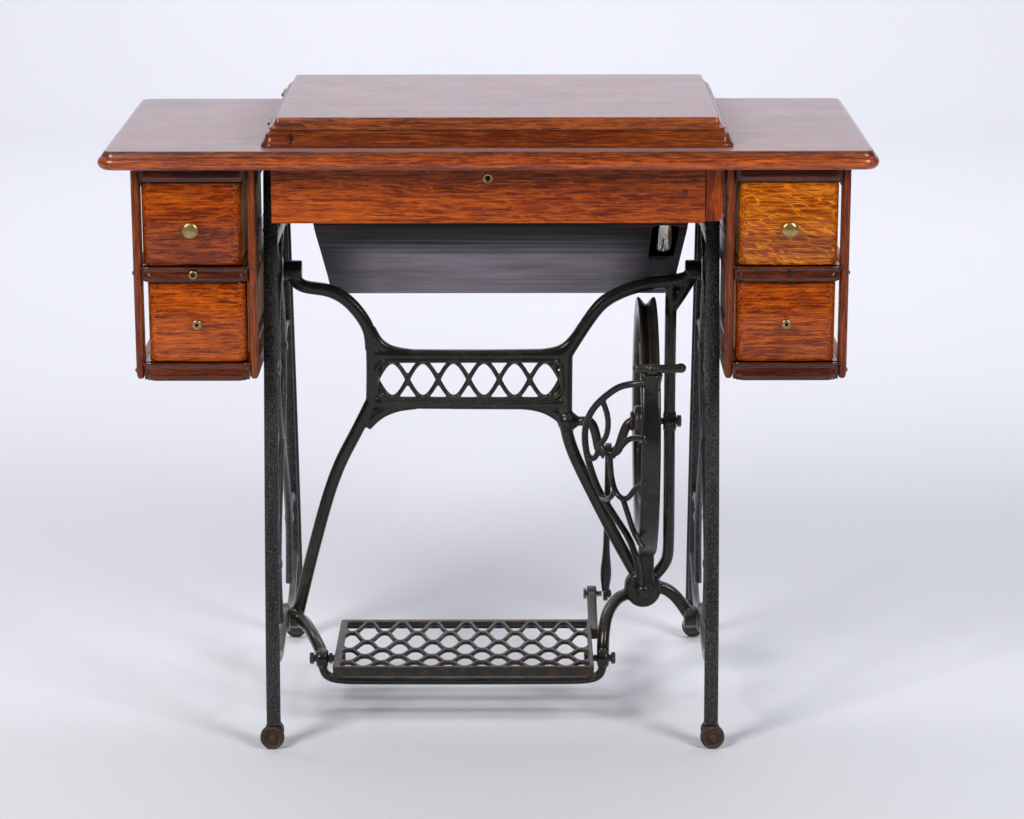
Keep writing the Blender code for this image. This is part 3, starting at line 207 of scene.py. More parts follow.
class Nodes:
    """A small builder for a material's node tree."""

    def __init__(self, name):
        self.material = bpy.data.materials.new(name)
        self.material.use_nodes = True
        self.tree = self.material.node_tree
        self.shader = self.tree.nodes["Principled BSDF"]
        self.place = self.add("TexCoord").outputs["Object"]

    def wire(self, source, socket):
        if hasattr(source, "is_output"):
            self.tree.links.new(source, socket)
        else:
            socket.default_value = source

    def add(self, kind, **sockets):
        """A node with its inputs set or wired by name."""
        node = self.tree.nodes.new("ShaderNode" + kind)
        for key, source in sockets.items():
            self.wire(source, node.inputs[key.replace("_", " ")])
        return node

    def scaled(self, scale, source=None, turn=(0, 0, 0), shift=(0, 0, 0)):
        node = self.add("Mapping", Scale=scale, Rotation=turn, Location=shift, Vector=source or self.place)
        return node.outputs["Vector"]

    def noise(self, vector, scale=1.0, detail=3.0, rough=0.5, distort=0.0, output="Fac"):
        node = self.add("TexNoise", Vector=vector, Scale=scale, Detail=detail, Roughness=rough,
                        Distortion=distort)
        return node.outputs[output]

    def ramp(self, source, stops):
        node = self.add("ValToRGB", Fac=source)
        while len(node.color_ramp.elements) < len(stops):
            node.color_ramp.elements.new(0.5)
        for element, (place, colour) in zip(node.color_ramp.elements, stops):
            element.position = place
            element.color = (*colour, 1)
        return node.outputs["Color"]

    def mix(self, amount, a, b, blend="MIX"):
        node = self.add("Mix")
        node.data_type = "RGBA"
        node.blend_type = blend
        self.wire(amount, node.inputs["Factor"])
        for source, key in ((a, "A"), (b, "B")):
            sockets = [s for s in node.inputs if s.name == key and s.type == "RGBA"]
            self.wire((*source, 1) if isinstance(source, tuple) else source, sockets[0])
        return [s for s in node.outputs if s.type == "RGBA"][0]

    def math(self, operation, a, b=0.0):
        node = self.add("Math")
        node.operation = operation
        self.wire(a, node.inputs[0])
        self.wire(b, node.inputs[1])
        return node.outputs[0]

    def fit(self, source, low, high, to_low, to_high):
        """Maps a span of values to another."""
        node = self.add("MapRange", Value=source, From_Min=low, From_Max=high, To_Min=to_low, To_Max=to_high)
        return node.outputs["Result"]

    def bump(self, height, distance, strength=1.0):
        return self.add("Bump", Height=height, Distance=distance, Strength=strength).outputs["Normal"]

    def split(self, vector):
        """The X, Y and Z of a vector, by name."""
        return self.add("SeparateXYZ", Vector=vector).outputs

    def geometry(self, output):
        return self.add("NewGeometry").outputs[output]

    def edges(self, low, high):
        """From 0 on flats to 1 on edges that stand out."""
        return self.fit(self.geometry("Pointiness"), low, high, 0.0, 1.0)

    def upness(self):
        """How far the surface faces up, from -1 to 1."""
        return self.split(self.geometry("Normal"))["Z"]

    def end(self, **sockets):
        for key, source in sockets.items():
            socket = self.shader.inputs[key.replace("_", " ")]
            if isinstance(source, tuple):
                source = (*source, 1)
            self.wire(source, socket)
        return self.material


def paper():
    n = Nodes("studio_paper")
    blotch = n.noise(n.place, 0.35, 3.0)
    colour = n.ramp(blotch, [(0.3, (0.7, 0.71, 0.75)), (0.7, (0.76, 0.77, 0.81))])
    grain = n.noise(n.place, 90.0, 2.0)
    return n.end(Base_Color=colour, Roughness=0.75, Normal=n.bump(grain, 0.0004))


def along(axis, with_grain, across):
    """A texture scale that is stretched along the grain."""
    return tuple(with_grain if k == axis else across for k in range(3))


def oak(name, axis, palette, shift=0.0, rays=0.5, ray_lean=0.0, gloss=0.24, coat=0.4, contrast=1.0,
        sheen=0.0, lift=None, haze=0.12):
    """Varnished oak with its grain along one axis (0, 1 or 2) and paler rays across the grain.

    `sheen` hazes it at a grazing view, and `lift` warms what lies below that height.
    """
    dark, mid, light = palette
    n = Nodes(name)
    offset = (shift, shift * 1.7, shift * 0.6)
    drift = n.noise(n.scaled(along(axis, 3.0, 11.0), shift=offset), 1.0, 2.0, 0.5, 0.0, "Color")
    ripple = n.noise(n.scaled(along(axis, 34.0, 60.0), shift=offset), 1.0, 2.0, 0.5, 0.0, "Color")
    bent = n.mix(0.012, n.place, drift, "ADD")
    bent = n.mix(0.0028, bent, ripple, "ADD")
    board = n.noise(n.scaled(along(axis, 2.2, 26.0), bent, shift=offset), 1.0, 3.0, 0.55)
    bands = n.noise(n.scaled(along(axis, 16.0, 360.0), bent, shift=offset), 1.0, 3.0, 0.62)
    lines = n.noise(n.scaled(along(axis, 36.0, 1000.0), bent, shift=offset), 1.0, 3.0, 0.66)
    tone = n.mix(0.5, bands, lines)
    tone = n.mix(0.22, tone, board)
    low, high = 0.5 - 0.115 / contrast, 0.5 + 0.125 / contrast
    bright = tuple(min(1.0, 1.45 * c) for c in light)
    colour = n.ramp(tone, [(low, dark), (0.485, mid), (0.5 + 0.4 * (high - 0.5), light), (high, bright)])
    turned = n.scaled((1, 1, 1), bent, turn=(0, ray_lean, 0))
    flecks = n.scaled(along(axis, 42.0, 190.0), turned, shift=(3.0 + shift, 0, 1.0))
    ray = n.noise(flecks, 1.0, 3.0, 0.55, 0.9)
    colour = n.mix(n.fit(ray, 0.53, 0.64, 0.0, rays), colour, bright)
    flecks = n.scaled(along(axis, 38.0, 210.0), turned, shift=(1.0, 5.0 + shift, 0))
    shade = n.noise(flecks, 1.0, 3.0, 0.6, 0.6)
    colour = n.mix(n.fit(shade, 0.56, 0.7, 0.0, 0.3), colour, dark)
    pores = n.noise(n.scaled(along(axis, 60.0, 1800.0), bent, shift=(7.0 + shift, 2.0, 0)), 1.0, 2.0, 0.5)
    colour = n.mix(n.fit(pores, 0.58, 0.7, 0.0, 0.6), colour, tuple(0.35 * c for c in dark))
    grime = n.noise(n.scaled((7, 7, 7), shift=offset), 1.0, 5.0, 0.65)
    colour = n.mix(n.fit(grime, 0.52, 0.78, 0.0, 0.4), colour, tuple(0.6 * c for c in dark))
    rough = n.fit(n.noise(n.scaled((16, 16, 16)), 1.0, 4.0, 0.6), 0.3, 0.75, gloss, gloss + 0.14)
    height = n.mix(0.6, lines, pores)
    if lift:
        below = n.fit(n.split(n.place)["Z"], lift + 0.002, lift - 0.002, 0.0, 1.0)
        colour = n.mix(below, colour, n.mix(1.0, colour, (1.75, 1.5, 0.9), "MULTIPLY"))
    return n.end(Base_Color=colour, Roughness=rough, Coat_Weight=coat, Coat_Roughness=haze,
                 Sheen_Weight=sheen, Sheen_Roughness=0.3, Sheen_Tint=(0.96, 0.9, 1.0),
                 Specular_IOR_Level=0.14, Normal=n.bump(height, 0.0002, 0.5))


def black_with_dust_and_reflections():
    """The blackened wood of the belly pan: paler low down, from dust and a painted reflection of the pale
    floor, with warm brown streaks at its ends that are a painted reflection of the nearby oak.
    """
    n = Nodes("ebonised_board")
    long = n.noise(n.scaled((2.2, 60, 60)), 1.0, 4.0, 0.6, 0.4)
    fine = n.noise(n.scaled((9, 380, 380)), 1.0, 3.0, 0.6)
    blacks = [(0.3, (0.0008, 0.0006, 0.0006)), (0.5, (0.0025, 0.0016, 0.0015)),
              (0.72, (0.007, 0.005, 0.005))]
    colour = n.ramp(n.mix(0.4, long, fine), blacks)
    place = n.split(n.place)
    beside = n.math("ABSOLUTE", place["X"])
    ragged = n.math("ADD", place["Z"], n.fit(long, 0.3, 0.7, -0.01, 0.01))
    # Paler lilac grey low down and in the middle: partly settled dust, partly a painted reflection of the
    # pale floor.
    low = n.fit(ragged, 0.62, 0.584, 0.0, 1.0)
    dust = n.fit(n.noise(n.scaled((3, 7, 7)), 1.0, 4.0, 0.6), 0.34, 0.66, 0.3, 0.8)
    settled = n.math("MULTIPLY", dust, low)
    settled = n.math("MULTIPLY", settled, n.fit(beside, 0.15, 0.2, 1.0, 0.25))
    colour = n.mix(settled, colour, (0.46, 0.405, 0.46))
    # Warm brown horizontal streaks at the upper ends: a painted reflection of the nearby oak.
    reflection_streak = n.noise(n.scaled((1.4, 120, 120), shift=(2, 0, 0)), 1.0, 3.0, 0.6)
    ends = n.fit(beside, 0.13, 0.205, 0.0, 0.75)
    warm = n.math("MULTIPLY", ends, n.fit(place["Z"], 0.63, 0.665, 0.0, 1.0))
    warm = n.math("MULTIPLY", warm, n.fit(reflection_streak, 0.48, 0.62, 0.0, 1.0))
    colour = n.mix(warm, colour, (0.15, 0.04, 0.012))
    crack = n.noise(n.scaled((1.6, 240, 240)), 1.0, 2.0, 0.5, 0.2)
    colour = n.mix(n.fit(crack, 0.66, 0.7, 0.0, 0.9), colour, (0.004, 0.003, 0.003))
    return n.end(Base_Color=colour, Roughness=n.fit(long, 0.3, 0.7, 0.4, 0.6), Specular_IOR_Level=0.08,
                 Normal=n.bump(n.mix(0.4, fine, crack), 0.00025, 0.6))


def japan(name, tint, dust=0.25, grit=0.00012, rough=(0.22, 0.4), rust=0.0, wear=0.75,
          worn=(0.075, 0.064, 0.048), patches=0.0, speck=55.0):
    """Black japanned cast iron: pitted like the sand it was cast in, worn on its edges, dusty on top."""
    n = Nodes(name)
    sand = n.noise(n.place, 620.0, 3.0, 0.6)
    lumps = n.noise(n.place, 150.0, 3.0, 0.55)
    cloud = n.noise(n.place, 16.0, 4.0, 0.6)
    colour = n.ramp(cloud, [(0.3, tuple(0.55 * c for c in tint)), (0.72, tuple(1.35 * c for c in tint))])
    edge_wear_and_speckle = n.math("MULTIPLY", n.edges(0.51, 0.575), n.fit(lumps, 0.32, 0.6, 0.0, 1.0))
    # Paler speckles of thin, worn japanning; on the legs they also stand in for a painted highlight sparkle.
    if patches:
        pale_speckle = n.fit(n.noise(n.place, speck, 5.0, 0.68), 0.5, 0.64, 0.0, patches)
        edge_wear_and_speckle = n.math("MAXIMUM", edge_wear_and_speckle, pale_speckle)
    colour = n.mix(n.math("MULTIPLY", edge_wear_and_speckle, wear), colour, worn)
    settle = n.fit(n.upness(), 0.35, 0.95, 0.0, dust)
    settled = n.math("MULTIPLY", settle, n.fit(n.noise(n.place, 30.0, 4.0, 0.7), 0.35, 0.65, 0.3, 1.0))
    colour = n.mix(settled, colour, (0.13, 0.115, 0.1))
    if rust:
        rot = n.fit(n.noise(n.place, 62.0, 5.0, 0.7), 0.5, 0.62, 0.0, rust)
        colour = n.mix(rot, colour, (0.085, 0.034, 0.014))
    roughness = n.math("ADD", n.fit(cloud, 0.3, 0.7, *rough), n.math("MULTIPLY", settled, 0.35))
    height = n.mix(0.35, sand, lumps)
    return n.end(Base_Color=colour, Roughness=roughness, Metallic=n.math("MULTIPLY", edge_wear_and_speckle, 0.55),
                 Specular_IOR_Level=0.28, Coat_Weight=0.3, Coat_Roughness=0.14,
                 Normal=n.bump(height, grit, 0.85))


def metal(name, clean, stain, rough=(0.18, 0.45), scale=60.0, amount=0.8, clad=1.0):
    """Aged bright metal with tarnish and fine scratches."""
    n = Nodes(name)
    patch = n.fit(n.noise(n.place, scale, 5.0, 0.65), 0.4, 0.66, 0.0, amount)
    colour = n.mix(patch, clean, stain)
    scratch = n.noise(n.scaled((900, 90, 260)), 1.0, 2.0, 0.5)
    colour = n.mix(n.fit(scratch, 0.62, 0.72, 0.0, 0.35), colour, tuple(0.5 * c for c in stain))
    roughness = n.math("ADD", n.fit(patch, 0.0, 0.8, *rough), n.math("MULTIPLY", scratch, 0.08))
    return n.end(Base_Color=colour, Roughness=roughness, Metallic=clad,
                 Normal=n.bump(n.noise(n.place, 700.0, 2.0), 0.00005, 0.6))


def rusty():
    n = Nodes("rusty_iron")
    patch = n.noise(n.place, 190.0, 5.0, 0.7)
    cloud = n.noise(n.place, 60.0, 3.0, 0.6)
    rusts = [(0.32, (0.012, 0.008, 0.006)), (0.5, (0.045, 0.022, 0.013)), (0.66, (0.115, 0.05, 0.022))]
    colour = n.ramp(n.mix(0.5, patch, cloud), rusts)
    return n.end(Base_Color=colour, Roughness=0.62, Metallic=0.15, Normal=n.bump(patch, 0.0003, 0.9))


def shadow_gap():
    """The dark inside of a keyhole or an open joint."""
    n = Nodes("dark_recess")
    blacks = [(0.3, (0.002, 0.0015, 0.001)), (0.7, (0.008, 0.005, 0.004))]
    colour = n.ramp(n.noise(n.place, 400.0, 2.0), blacks)
    return n.end(Base_Color=colour, Roughness=0.9)


def make_materials():
    polish = {"gloss": 0.34, "coat": 0.8, "sheen": 0.85, "haze": 0.24}
    warm = ((0.05, 0.005, 0.0006), (0.2, 0.025, 0.001), (0.4, 0.072, 0.003))
    gold = ((0.085, 0.011, 0.0008), (0.31, 0.056, 0.0018), (0.6, 0.165, 0.006))
    amber = ((0.052, 0.0055, 0.0006), (0.215, 0.027, 0.001), (0.44, 0.082, 0.003))
    red = ((0.036, 0.005, 0.0012), (0.13, 0.02, 0.003), (0.27, 0.058, 0.007))
    brown = ((0.018, 0.0034, 0.0018), (0.06, 0.0105, 0.004), (0.13, 0.027, 0.009))
    raw = ((0.18, 0.08, 0.03), (0.33, 0.165, 0.065), (0.46, 0.25, 0.11))
    return {
        "leaf": oak("oak_leaf", 0, red, shift=0.3, rays=0.35, lift=TOP_Z - 0.0068, **polish),
        "moulding": oak("oak_moulding", 0, red, shift=4.1, rays=0.12, contrast=0.8),
        "lid": oak("oak_lid", 0, red, shift=2.2, rays=0.55, **polish),
        "flap": oak("oak_flap", 0, warm, shift=6.4, rays=0.45, gloss=0.28),
        "cheek": oak("oak_cheek", 2, warm, shift=5.0, rays=0.1),
        "post": oak("oak_post", 2, red, shift=1.3, rays=0.05, contrast=0.8),
        "rail": oak("oak_rail", 0, brown, shift=7.7, rays=0.1, gloss=0.18, coat=0.6, contrast=0.8),
        "side_rail": oak("oak_side_rail", 1, brown, shift=2.9, rays=0.1),
        "box_wood": oak("drawer_poplar", 1, raw, shift=3.3, rays=0.0, gloss=0.55, coat=0.0, contrast=0.7),
        "drawer_upper_left": oak("oak_drawer_a", 0, warm, shift=1.9, rays=0.35, ray_lean=0.12),
        "drawer_lower_left": oak("oak_drawer_b", 0, amber, shift=3.7, rays=0.45, ray_lean=0.1),
        "drawer_upper_right": oak("oak_drawer_c", 0, gold, shift=8.1, rays=0.85, ray_lean=-0.32),
        "drawer_lower_right": oak("oak_drawer_d", 0, amber, shift=9.4, rays=0.3, ray_lean=0.28),
        "pan": black_with_dust_and_reflections(),
        "iron": japan("japanned_iron", (0.0105, 0.0108, 0.0095)),
        # The legs' pale grey speckle is partly worn japanning and partly a painted highlight sparkle.
        "leg": japan("japanned_legs", (0.0085, 0.0082, 0.0078), grit=0.0014, rough=(0.2, 0.36),
                     patches=0.5, worn=(0.2, 0.196, 0.19), dust=0.5, speck=480.0),
        "brace": japan("japanned_brace", (0.0125, 0.0118, 0.0088), grit=0.0001, rough=(0.18, 0.32),
                       patches=0.3, worn=(0.105, 0.082, 0.05), dust=0.5),
        "guard": japan("japanned_guard", (0.0085, 0.007, 0.0058), grit=0.00014, rough=(0.2, 0.36),
                       patches=0.3),
        "wheel": japan("japanned_wheel", (0.015, 0.013, 0.011), rough=(0.28, 0.42), wear=0.9, patches=0.5,
                       worn=(0.11, 0.08, 0.055)),
        "axle": japan("worn_axle", (0.018, 0.015, 0.012), rough=(0.24, 0.4), patches=0.6),
        "worn": japan("worn_lever", (0.02, 0.018, 0.013), rough=(0.14, 0.26), patches=1.0,
                      worn=(0.19, 0.165, 0.11)),
        "bolt": japan("dark_bolts", (0.016, 0.014, 0.012), rough=(0.22, 0.38), patches=0.5),
        "head": japan("japanned_head", (0.005, 0.005, 0.005), dust=0.04, grit=0.00002, rough=(0.06, 0.14),
                      wear=0.3),
        "treadle": japan("dull_iron", (0.012, 0.009, 0.0075), dust=0.85, grit=0.0002, rough=(0.42, 0.62),
                         rust=0.4),
        "rust": rusty(),
        "brass": metal("aged_brass", (0.46, 0.32, 0.13), (0.2, 0.13, 0.05), rough=(0.22, 0.42), clad=0.88),
        "nickel": metal("nickel", (0.62, 0.6, 0.55), (0.3, 0.26, 0.2), rough=(0.12, 0.35), amount=0.5),
        "steel": metal("steel", (0.3, 0.29, 0.27), (0.09, 0.07, 0.055), amount=0.7),
        "gap": shadow_gap(),
    }


LOOK = make_materials()


# ---------------------------------------------------------------- shape helpers

def smooth_path(points, steps=8):
    """A Catmull-Rom curve through the points, relaxed unless its steps are few."""
    points = [Vector(p) for p in points]
    path = []
    for i, (b, c) in enumerate(zip(points, points[1:])):
        a = points[i - 1] if i else 2 * b - c
        d = points[i + 2] if i + 2 < len(points) else 2 * c - b
        for s in range(steps):
            t = s / steps
            path.append(0.5 * (2 * b + (c - a) * t + (2 * a - 5 * b + 4 * c - d) * t * t
                               + (3 * b - a - 3 * c + d) * t ** 3))
    path.append(points[-1])
    for _ in range(RELAX_ROUNDS if steps > ROUGH_STEPS else 0):
        path[1:-1] = [(a + 2 * b + c) / 4 for a, b, c in zip(path, path[1:], path[2:])]
    return path


def corners(low, high, radius, steps=8):
    """A rectangle with rounded corners, as points in a plane."""
    points = []
    for k, (x, y) in enumerate((high, (low[0], high[1]), low, (high[0], low[1]))):
        cx = x + (radius if k in (1, 2) else -radius)
        cy = y + (radius if k in (2, 3) else -radius)
        for s in range(steps + 1):
            angle = math.pi / 2 * (k + s / steps)
            points.append((cx + radius * math.cos(angle), cy + radius * math.sin(angle)))
    return points


class Mould:
    """Gathers closed shapes, then makes them into one object."""

    def __init__(self):
        self.points = []
        self.faces = []

    def skin(self, rings, around, along):
        """Faces between rings. `around` closes each ring, and `along` joins the last ring to the first."""
        count, base = len(rings[0]), len(self.points)
        for ring in rings:
            self.points.extend(Vector(p) for p in ring)
        for r in range(len(rings) if along else len(rings) - 1):
            a, b = base + r * count, base + (r + 1) % len(rings) * count
            for i in range(count if around else count - 1):
                j = (i + 1) % count
                self.faces.append((a + i, a + j, b + j, b + i))
        return self

    def loft(self, rings, closed=False):
        """A solid through closed rings, capped at both ends unless it runs round to its start."""
        self.skin(rings, True, closed)
        if not closed:
            count, end = len(rings[0]), len(self.points)
            for base in (end - len(rings) * count, end - count):
                self.faces.append(tuple(range(base, base + count)))
        return self

    def bar(self, points, width, depth, across, steps=8, sides=16, taper=None, square=0.7):
        """A bar with a softly squared section, swept along a smooth path that lies across `across`."""
        path = smooth_path(points, steps)
        across = Vector(across).normalized()
        rings = []
        for i, p in enumerate(path):
            tangent = (path[min(i + 1, len(path) - 1)] - path[max(i - 1, 0)]).normalized()
            side = tangent.cross(across).normalized()
            flat = side.cross(tangent)
            size = taper(i / (len(path) - 1)) if taper else 1.0
            ring = []
            for k in range(sides):
                angle = 2 * math.pi * (k + 0.5) / sides
                c, s = math.cos(angle), math.sin(angle)
                c = math.copysign(abs(c) ** square, c)
                s = math.copysign(abs(s) ** square, s)
                ring.append(p + side * c * width * size * 0.5 + flat * s * depth * 0.53)
            rings.append(ring)
        return self.loft(rings)

    def turned(self, profile, centre, axis, sides=48, closed=False):
        """Turns (radius, distance along the axis) pairs. An open profile starts and ends on the axis."""
        axis = Vector(axis).normalized()
        across = Vector((0, 0, 1)) if abs(axis.z) < 0.9 else Vector((0, 1, 0))
        across = (across - axis * across.dot(axis)).normalized()
        other = axis.cross(across)
        centre = Vector(centre)
        if not closed:
            profile = [(max(r, 1e-6), d) for r, d in profile]
        rings = []
        for s in range(sides):
            angle = 2 * math.pi * s / sides
            out = across * math.cos(angle) + other * math.sin(angle)
            rings.append([centre + out * r + axis * d for r, d in profile])
        return self.skin(rings, closed, True)

    def rod(self, start, end, radius, sides=32, ease=0.0006):
        start, end = Vector(start), Vector(end)
        length = (end - start).length
        profile = [(0, 0), (radius - ease, 0), (radius, ease), (radius, length - ease),
                   (radius - ease, length), (0, length)]
        return self.turned(profile, start, end - start, sides)

    def ball(self, centre, radius, squash=1.0, axis=(0, 0, 1)):
        profile = [(radius * math.sin(math.pi * k / 16), -squash * radius * math.cos(math.pi * k / 16))
                   for k in range(17)]
        return self.turned(profile, centre, axis, 32)

    def block(self, low, high):
        ring = [(low[0], low[1]), (high[0], low[1]), (high[0], high[1]), (low[0], high[1])]
        return self.loft([[(x, y, z) for x, y in ring] for z in (low[2], high[2])])

    def prism(self, outline, front, back):
        """A solid with an outline of (x, z) pairs."""
        return self.loft([[(x, y, z) for x, z in outline] for y in (front, back)])

    def nut(self, centre, axis, across, thick):
        """A hexagonal nut with eased corners."""
        r = across / math.sqrt(3)
        top = thick - 0.0008
        profile = [(0, 0), (r - 0.0008, 0), (r, 0.0006), (r, top), (r - 0.001, thick), (0, thick)]
        return self.turned(profile, centre, axis, 6)

    def moved(self, matrix):
        self.points = [matrix @ p for p in self.points]
        return self

    def made(self, name, angle=35):
        shape = bmesh.new()
        verts = [shape.verts.new(p) for p in self.points]
        for face in self.faces:
            shape.faces.new([verts[i] for i in face])
        bmesh.ops.remove_doubles(shape, verts=shape.verts, dist=WELD)
        bmesh.ops.recalc_face_normals(shape, faces=shape.faces)
        mesh = bpy.data.meshes.new(name)
        shape.to_mesh(mesh)
        shape.free()
        mesh.shade_smooth()
        mesh.set_sharp_from_angle(angle=math.radians(angle))
        return linked(name, mesh)


def baked(thing):
    """Applies an object's modifiers."""
    graph = bpy.context.evaluated_depsgraph_get()
    mesh = bpy.data.meshes.new_from_object(thing.evaluated_get(graph))
    thing.modifiers.clear()
    thing.data = mesh
    return thing


def cast(mould, name, voxel=0.0014, rounds=5):
    """Pours the gathered shapes as one casting, with fillets where they meet."""
    thing = mould.made(name)
    remesh = thing.modifiers.new("remesh", "REMESH")
    remesh.mode = "VOXEL"
    remesh.voxel_size = voxel * 1.0
    smooth = thing.modifiers.new("smooth", "SMOOTH")
    smooth.factor = 0.5
    smooth.iterations = rounds
    baked(thing)
    thing.data.shade_smooth()
    return thing


def eased(thing, width=0.001, segments=3, angle=38):
    """Rounds the sharp edges of a piece."""
    bevel = thing.modifiers.new("ease", "BEVEL")
    bevel.width = width
    bevel.segments = segments
    bevel.limit_method = "ANGLE"
    bevel.angle_limit = math.radians(angle)
    bevel.harden_normals = False
    baked(thing)
    thing.data.shade_smooth()
    thing.data.set_sharp_from_angle(angle=math.radians(50))
    weight = thing.modifiers.new("normals", "WEIGHTED_NORMAL")
    weight.keep_sharp = True
    return baked(thing)


def eased_copy(node, width=0.0008, segments=2, angle=38):
    """A copy of a CAD node with its flat faces merged and its edges rounded."""
    thing = linked(node + "_finish", NODES[node].data.copy())
    shape = bmesh.new()
    shape.from_mesh(thing.data)
    bmesh.ops.remove_doubles(shape, verts=shape.verts, dist=WELD)
    bmesh.ops.dissolve_limit(shape, angle_limit=math.radians(0.5), verts=shape.verts, edges=shape.edges)
    shape.to_mesh(thing.data)
    shape.free()
    return eased(thing, width, segments, angle)


def mm(*points):
    """Points given in millimetres."""
    return [tuple(v / 1000 for v in p) for p in points]


def at(place, x=0.0, y=0.0, z=0.0):
    """A place moved by an offset."""
    return Vector(place) + Vector((x, y, z))


def dress(thing, look):
    thing.data.materials.clear()
    thing.data.materials.append(LOOK[look])
    return thing


def extra(thing, look, body):
    """Dresses a new piece and fixes it to a body."""
    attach(dress(thing, look), body)


def stand_in(thing, look, *nodes):
    """Dresses a new piece and shows it in place of CAD nodes, on the same body."""
    extra(thing, look, NODES[nodes[0]]["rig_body"])
    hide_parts(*nodes)


# ---------------------------------------------------------------- castings of the stand

def leg_frame(side):
    """One openwork end frame, with a web and a flange down each leg."""
    x = side * FRAME_X
    m = Mould()

    def member(points, width, depth, **more):
        m.bar([(x, y, z) for y, z in points], width, depth, ALONG_X, **more)

    top = UNDER - 0.006
    leg = [(-0.08, UNDER - 0.004), (-0.096, 0.65), (-0.143, 0.44), (-0.19, 0.2), (-0.2075, 0.07),
           (-0.209, 0.03)]
    scroll = mm((-55, 604), (20, 545), (62, 450), (30, 370), (-50, 290), (-105, 200), (-80, 120))
    arch = mm((-196, 128), (-150, 98), (-100, 82), (-45, 92), (0, 104))
    member([(-0.104, top), (0.0, top), (0.104, top)], 0.0098, 0.0155, square=0.45)
    for turn in (1, -1):
        flip = [(turn * y, z) for y, z in leg]
        member(flip, 0.018, 0.008, square=0.5)
        member([(turn * (y - 0.0062), z) for y, z in leg], 0.008, 0.0172, square=0.78)
        member([(turn * (y + 0.0075), z) for y, z in leg[:5]], 0.005, 0.012, square=0.6)
        member([(turn * y, z) for y, z in scroll], 0.0135, 0.0066)
        member([(turn * y, z) for y, z in scroll], 0.006, 0.0098, square=0.8)
        member([(turn * y, z) for y, z in ((-0.138, 0.462), (-0.1, 0.47), (-0.058, 0.45))], 0.0105, 0.0072)
        member([(turn * y, z) for y, z in ((-0.19, 0.2), (-0.15, 0.226), (-0.104, 0.205))], 0.0105, 0.0068)
        for y, z in ((-0.058, 0.45), (-0.104, 0.205), (0.0, 0.328)):
            m.ball((x, turn * y, z), 0.0105, 0.62, ALONG_X)
        face = turn * (FOOT_Y - 0.004)
        m.rod((x, face - turn * 0.0095, 0.0205), (x, face, 0.0205), 0.0122)
        shank = face - turn * 0.0047
        member([(shank, 0.02), (shank, 0.056)], 0.0095, 0.0152, square=0.6)
    member(mm((-104, 606), (0, 610), (104, 606)), 0.014, 0.0094)
    member(arch + [(-y, z) for y, z in reversed(arch[:-1])], 0.016, 0.0088)
    inner = side * (FRAME_X - 0.004)
    bolts = Mould()
    for z in FRAME_SCREW_Z:
        m.rod((inner, BRACE_Y, z), (x + side * 0.0052, BRACE_Y, z), 0.0188)
        bolts.nut((x + side * 0.0054, BRACE_Y, z), (side, 0, 0), 0.013, 0.0045)
        bolts.ball((x + side * 0.01, BRACE_Y, z), 0.004, 0.5, (side, 0, 0))
    name = "side_frame_left" if side < 0 else "side_frame_right"
    stand_in(cast(m, name + "_casting", 0.0014, 6), "leg", name)
    extra(bolts.made(name + "_bolts"), "iron", "stand")


